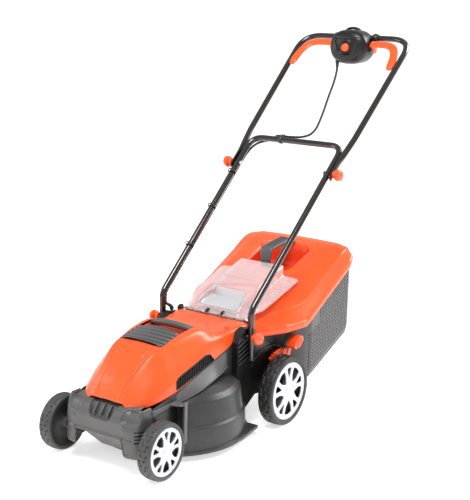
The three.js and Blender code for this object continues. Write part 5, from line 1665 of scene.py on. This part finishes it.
    def top(self, x: Array, y: Array) -> Array:
        """Height of the lid over x and y, from its crown, shoulder and ridge lines."""
        table = np.array(self.stations, float)
        crown, sx, sz, rx, rz = through(table[:, 0], table[:, 1:], y).T
        out = np.empty(x.shape)
        for k in range(x.shape[1]):
            out[:, k] = np.interp(abs(x[:, k]), [0, sx[k] * 0.5, sx[k], rx[k]],
                                  [crown[k], crown[k] - (crown[k] - sz[k]) * 0.28, sz[k], rz[k]])
        return out

    def pocket(self, x: Array, y: Array) -> Array:
        """Signed distance to the pocket's outline."""
        return round_box(x * np.interp(y, [190, 330], [1.06, 0.96]), y - 259, 84, 68, 34)

    def lid(self) -> bpy.types.Object:
        """The lid: a loft of half sections from skirt to ridge to crown, sunk at the pocket and grooved round it."""
        y = np.concatenate([np.linspace(-47, 400, 190), np.linspace(401, 410.5, 12)])
        plan = np.array(self.lid_plan, float)
        table = np.array(self.stations, float)
        crown, sx, sz, rx, rz = through(table[:, 0], table[:, 1:], y).T
        width = np.interp(y, plan[:, 1], plan[:, 0])
        rim = self.rim(y)
        rx, sx = np.minimum(rx, width - 6), np.minimum(sx, width - 40)
        tail = ease(y, 403, 410.5)
        corner = np.stack([
            np.stack([width, rim - 5], -1), np.stack([width + 0.8, rim + 12], -1),
            np.stack([width - 3.5, rim + 15], -1), np.stack([rx, rz], -1), np.stack([sx, sz], -1),
            np.stack([sx * 0.5, crown - (crown - sz) * 0.28], -1), np.stack([0 * crown, crown], -1)], 1)
        half = soften(runs_between(corner, (5, 3, 14, 16, 26, 26)), 2, 1)
        half[..., 1] -= (tail[:, None] * np.maximum(half[..., 1] - rim[:, None] - 9, 0)) * 0.35
        whole = mirrored(half)
        x, z = whole[..., 0], whole[..., 1]
        yy = np.repeat(y[:, None], x.shape[1], 1)
        away = self.pocket(x, yy)
        z = z - 1.3 * (1 - ease(abs(away - 24), 0.8, 3.0))
        sunk = 1 - ease(away, -3.5, 1.2)
        z = np.where(z > self.pocket_floor, z + (self.pocket_floor - z) * sunk, z)
        grid = np.stack([x, yy, z], -1)
        end = grid[-1:].copy()
        end[..., 2] = np.minimum(end[..., 2], rim[-1] - 5)
        end[..., 1] += 0.6
        return sheet_of("lid_shell", np.concatenate([grid, end]), 2.6, up=(0, 0.2, 1))

    def pocket_shade(self) -> bpy.types.Object:
        """A sheet of painted shade inside the pocket, in the darker orange: its outline dropped from just under the
        lid's face to the floor.
        """
        angle = np.linspace(0, 2 * np.pi, 120, endpoint=False)
        reach = np.linspace(30, 130, 400)[:, None]
        x, y = reach * np.cos(angle), 259 + reach * np.sin(angle)
        first = (self.pocket(x, y) > -3.0).argmax(0)
        edge_x, edge_y = x[first, np.arange(120)], y[first, np.arange(120)]
        edge = zip(edge_x, edge_y)
        high = np.array([float(self.top(np.array([[px]]), np.array([py]))[0, 0]) for px, py in edge]) - 4
        rings = []
        for scale, share in ((1.0, 1.0), (0.992, 0.75), (0.985, 0.5), (0.975, 0.25), (0.955, 0.06), (0.92, 0.02),
                             (0.5, 0.0), (0.0, 0.0)):
            rings.append(np.column_stack([edge_x * scale, 259 + (edge_y - 259) * scale,
                                          self.pocket_floor + 0.9 + (high - self.pocket_floor) * share]))
        grid = np.array(rings)
        faces = grid_faces(len(rings), 120, False, True)
        return thicken(make("lid_pocket", grid.reshape(-1, 3), faces, outward=False), 0.5, 0)

    def grip(self) -> bpy.types.Object:
        """The grey grip: a flat bar that rises from the pocket's front and runs back over it, ribbed on top."""
        path = rounded([(0, 198, 373), (0, 198, 446), (0, 302, 460), (0, 330, 450)], (14, 60), 12)
        even = np.linspace(0, run_along(path)[-1], 70)
        path = resampled(path, even)
        half = np.column_stack([np.full(70, 5.6), 17.0 + 4.0 * ease(even, 30, 80)])
        parts = [bar("bar", path, half, 32, power=0.5, up=(1, 0, 0))]
        for k in range(9):
            y = 214 + 10.5 * k
            z = np.interp(y, [198, 302, 330], [447, 460.5, 452]) + 5.4
            rib = np.array([[x, y, z] for x in np.linspace(-15, 15, 8)])
            parts.append(bar("rib", rib, (1.6, 1.5), 10, up=(0, 0, 1)))
        return joined("lid_grip", parts)

    def build(self) -> None:
        """Make and dress the grass box."""
        dress(self.wall(), Surface.GREY, "grass_box", "grass_box_tub")
        dress(self.floor(), Surface.GREY, "grass_box")
        dress(self.lid(), Surface.ORANGE, "grass_box", "grass_box_lid")
        # A thin darker orange sheet inside the pocket: painted shade.
        dress(self.pocket_shade(), Surface.DEEP_ORANGE, "grass_box")
        dress(self.grip(), Surface.GREY, "grass_box", "grass_box_handle")


# ------------------------------------------------------------------ what the frame shows as it is
def dress_frame_nodes() -> None:
    """Give each frame node that still shows a finish by its slot in the record.

    These are the axles, the rod, the motor, the blade and the bolts.
    """
    finishes = {surface.value.slot: surface for surface in reversed(Surface)}
    slots = {row["node"]: row["material_slot"] for row in frame["record"]["subparts"]}
    for name, node in frame["nodes"].items():
        if not node.hide_render:
            finishes[slots[name]].paint(node)
            log.info("%s keeps its frame shape", name)


def main() -> None:
    """Build the studio and the mower, one sub-assembly at a time."""
    logging.basicConfig(level=logging.INFO, format="%(message)s")
    Studio().build()
    SwitchLead().build()
    for end in ("front", "rear"):
        for side, _ in SIDES:
            Wheel(end, side).build()
    for part in (HeightAdjuster(), Deck(), Bumper(), Hood(), Handle(), SwitchBox(), RearFlap(), GrassBox()):
        part.build()
    dress_frame_nodes()


if __name__ == "__main__":
    main()
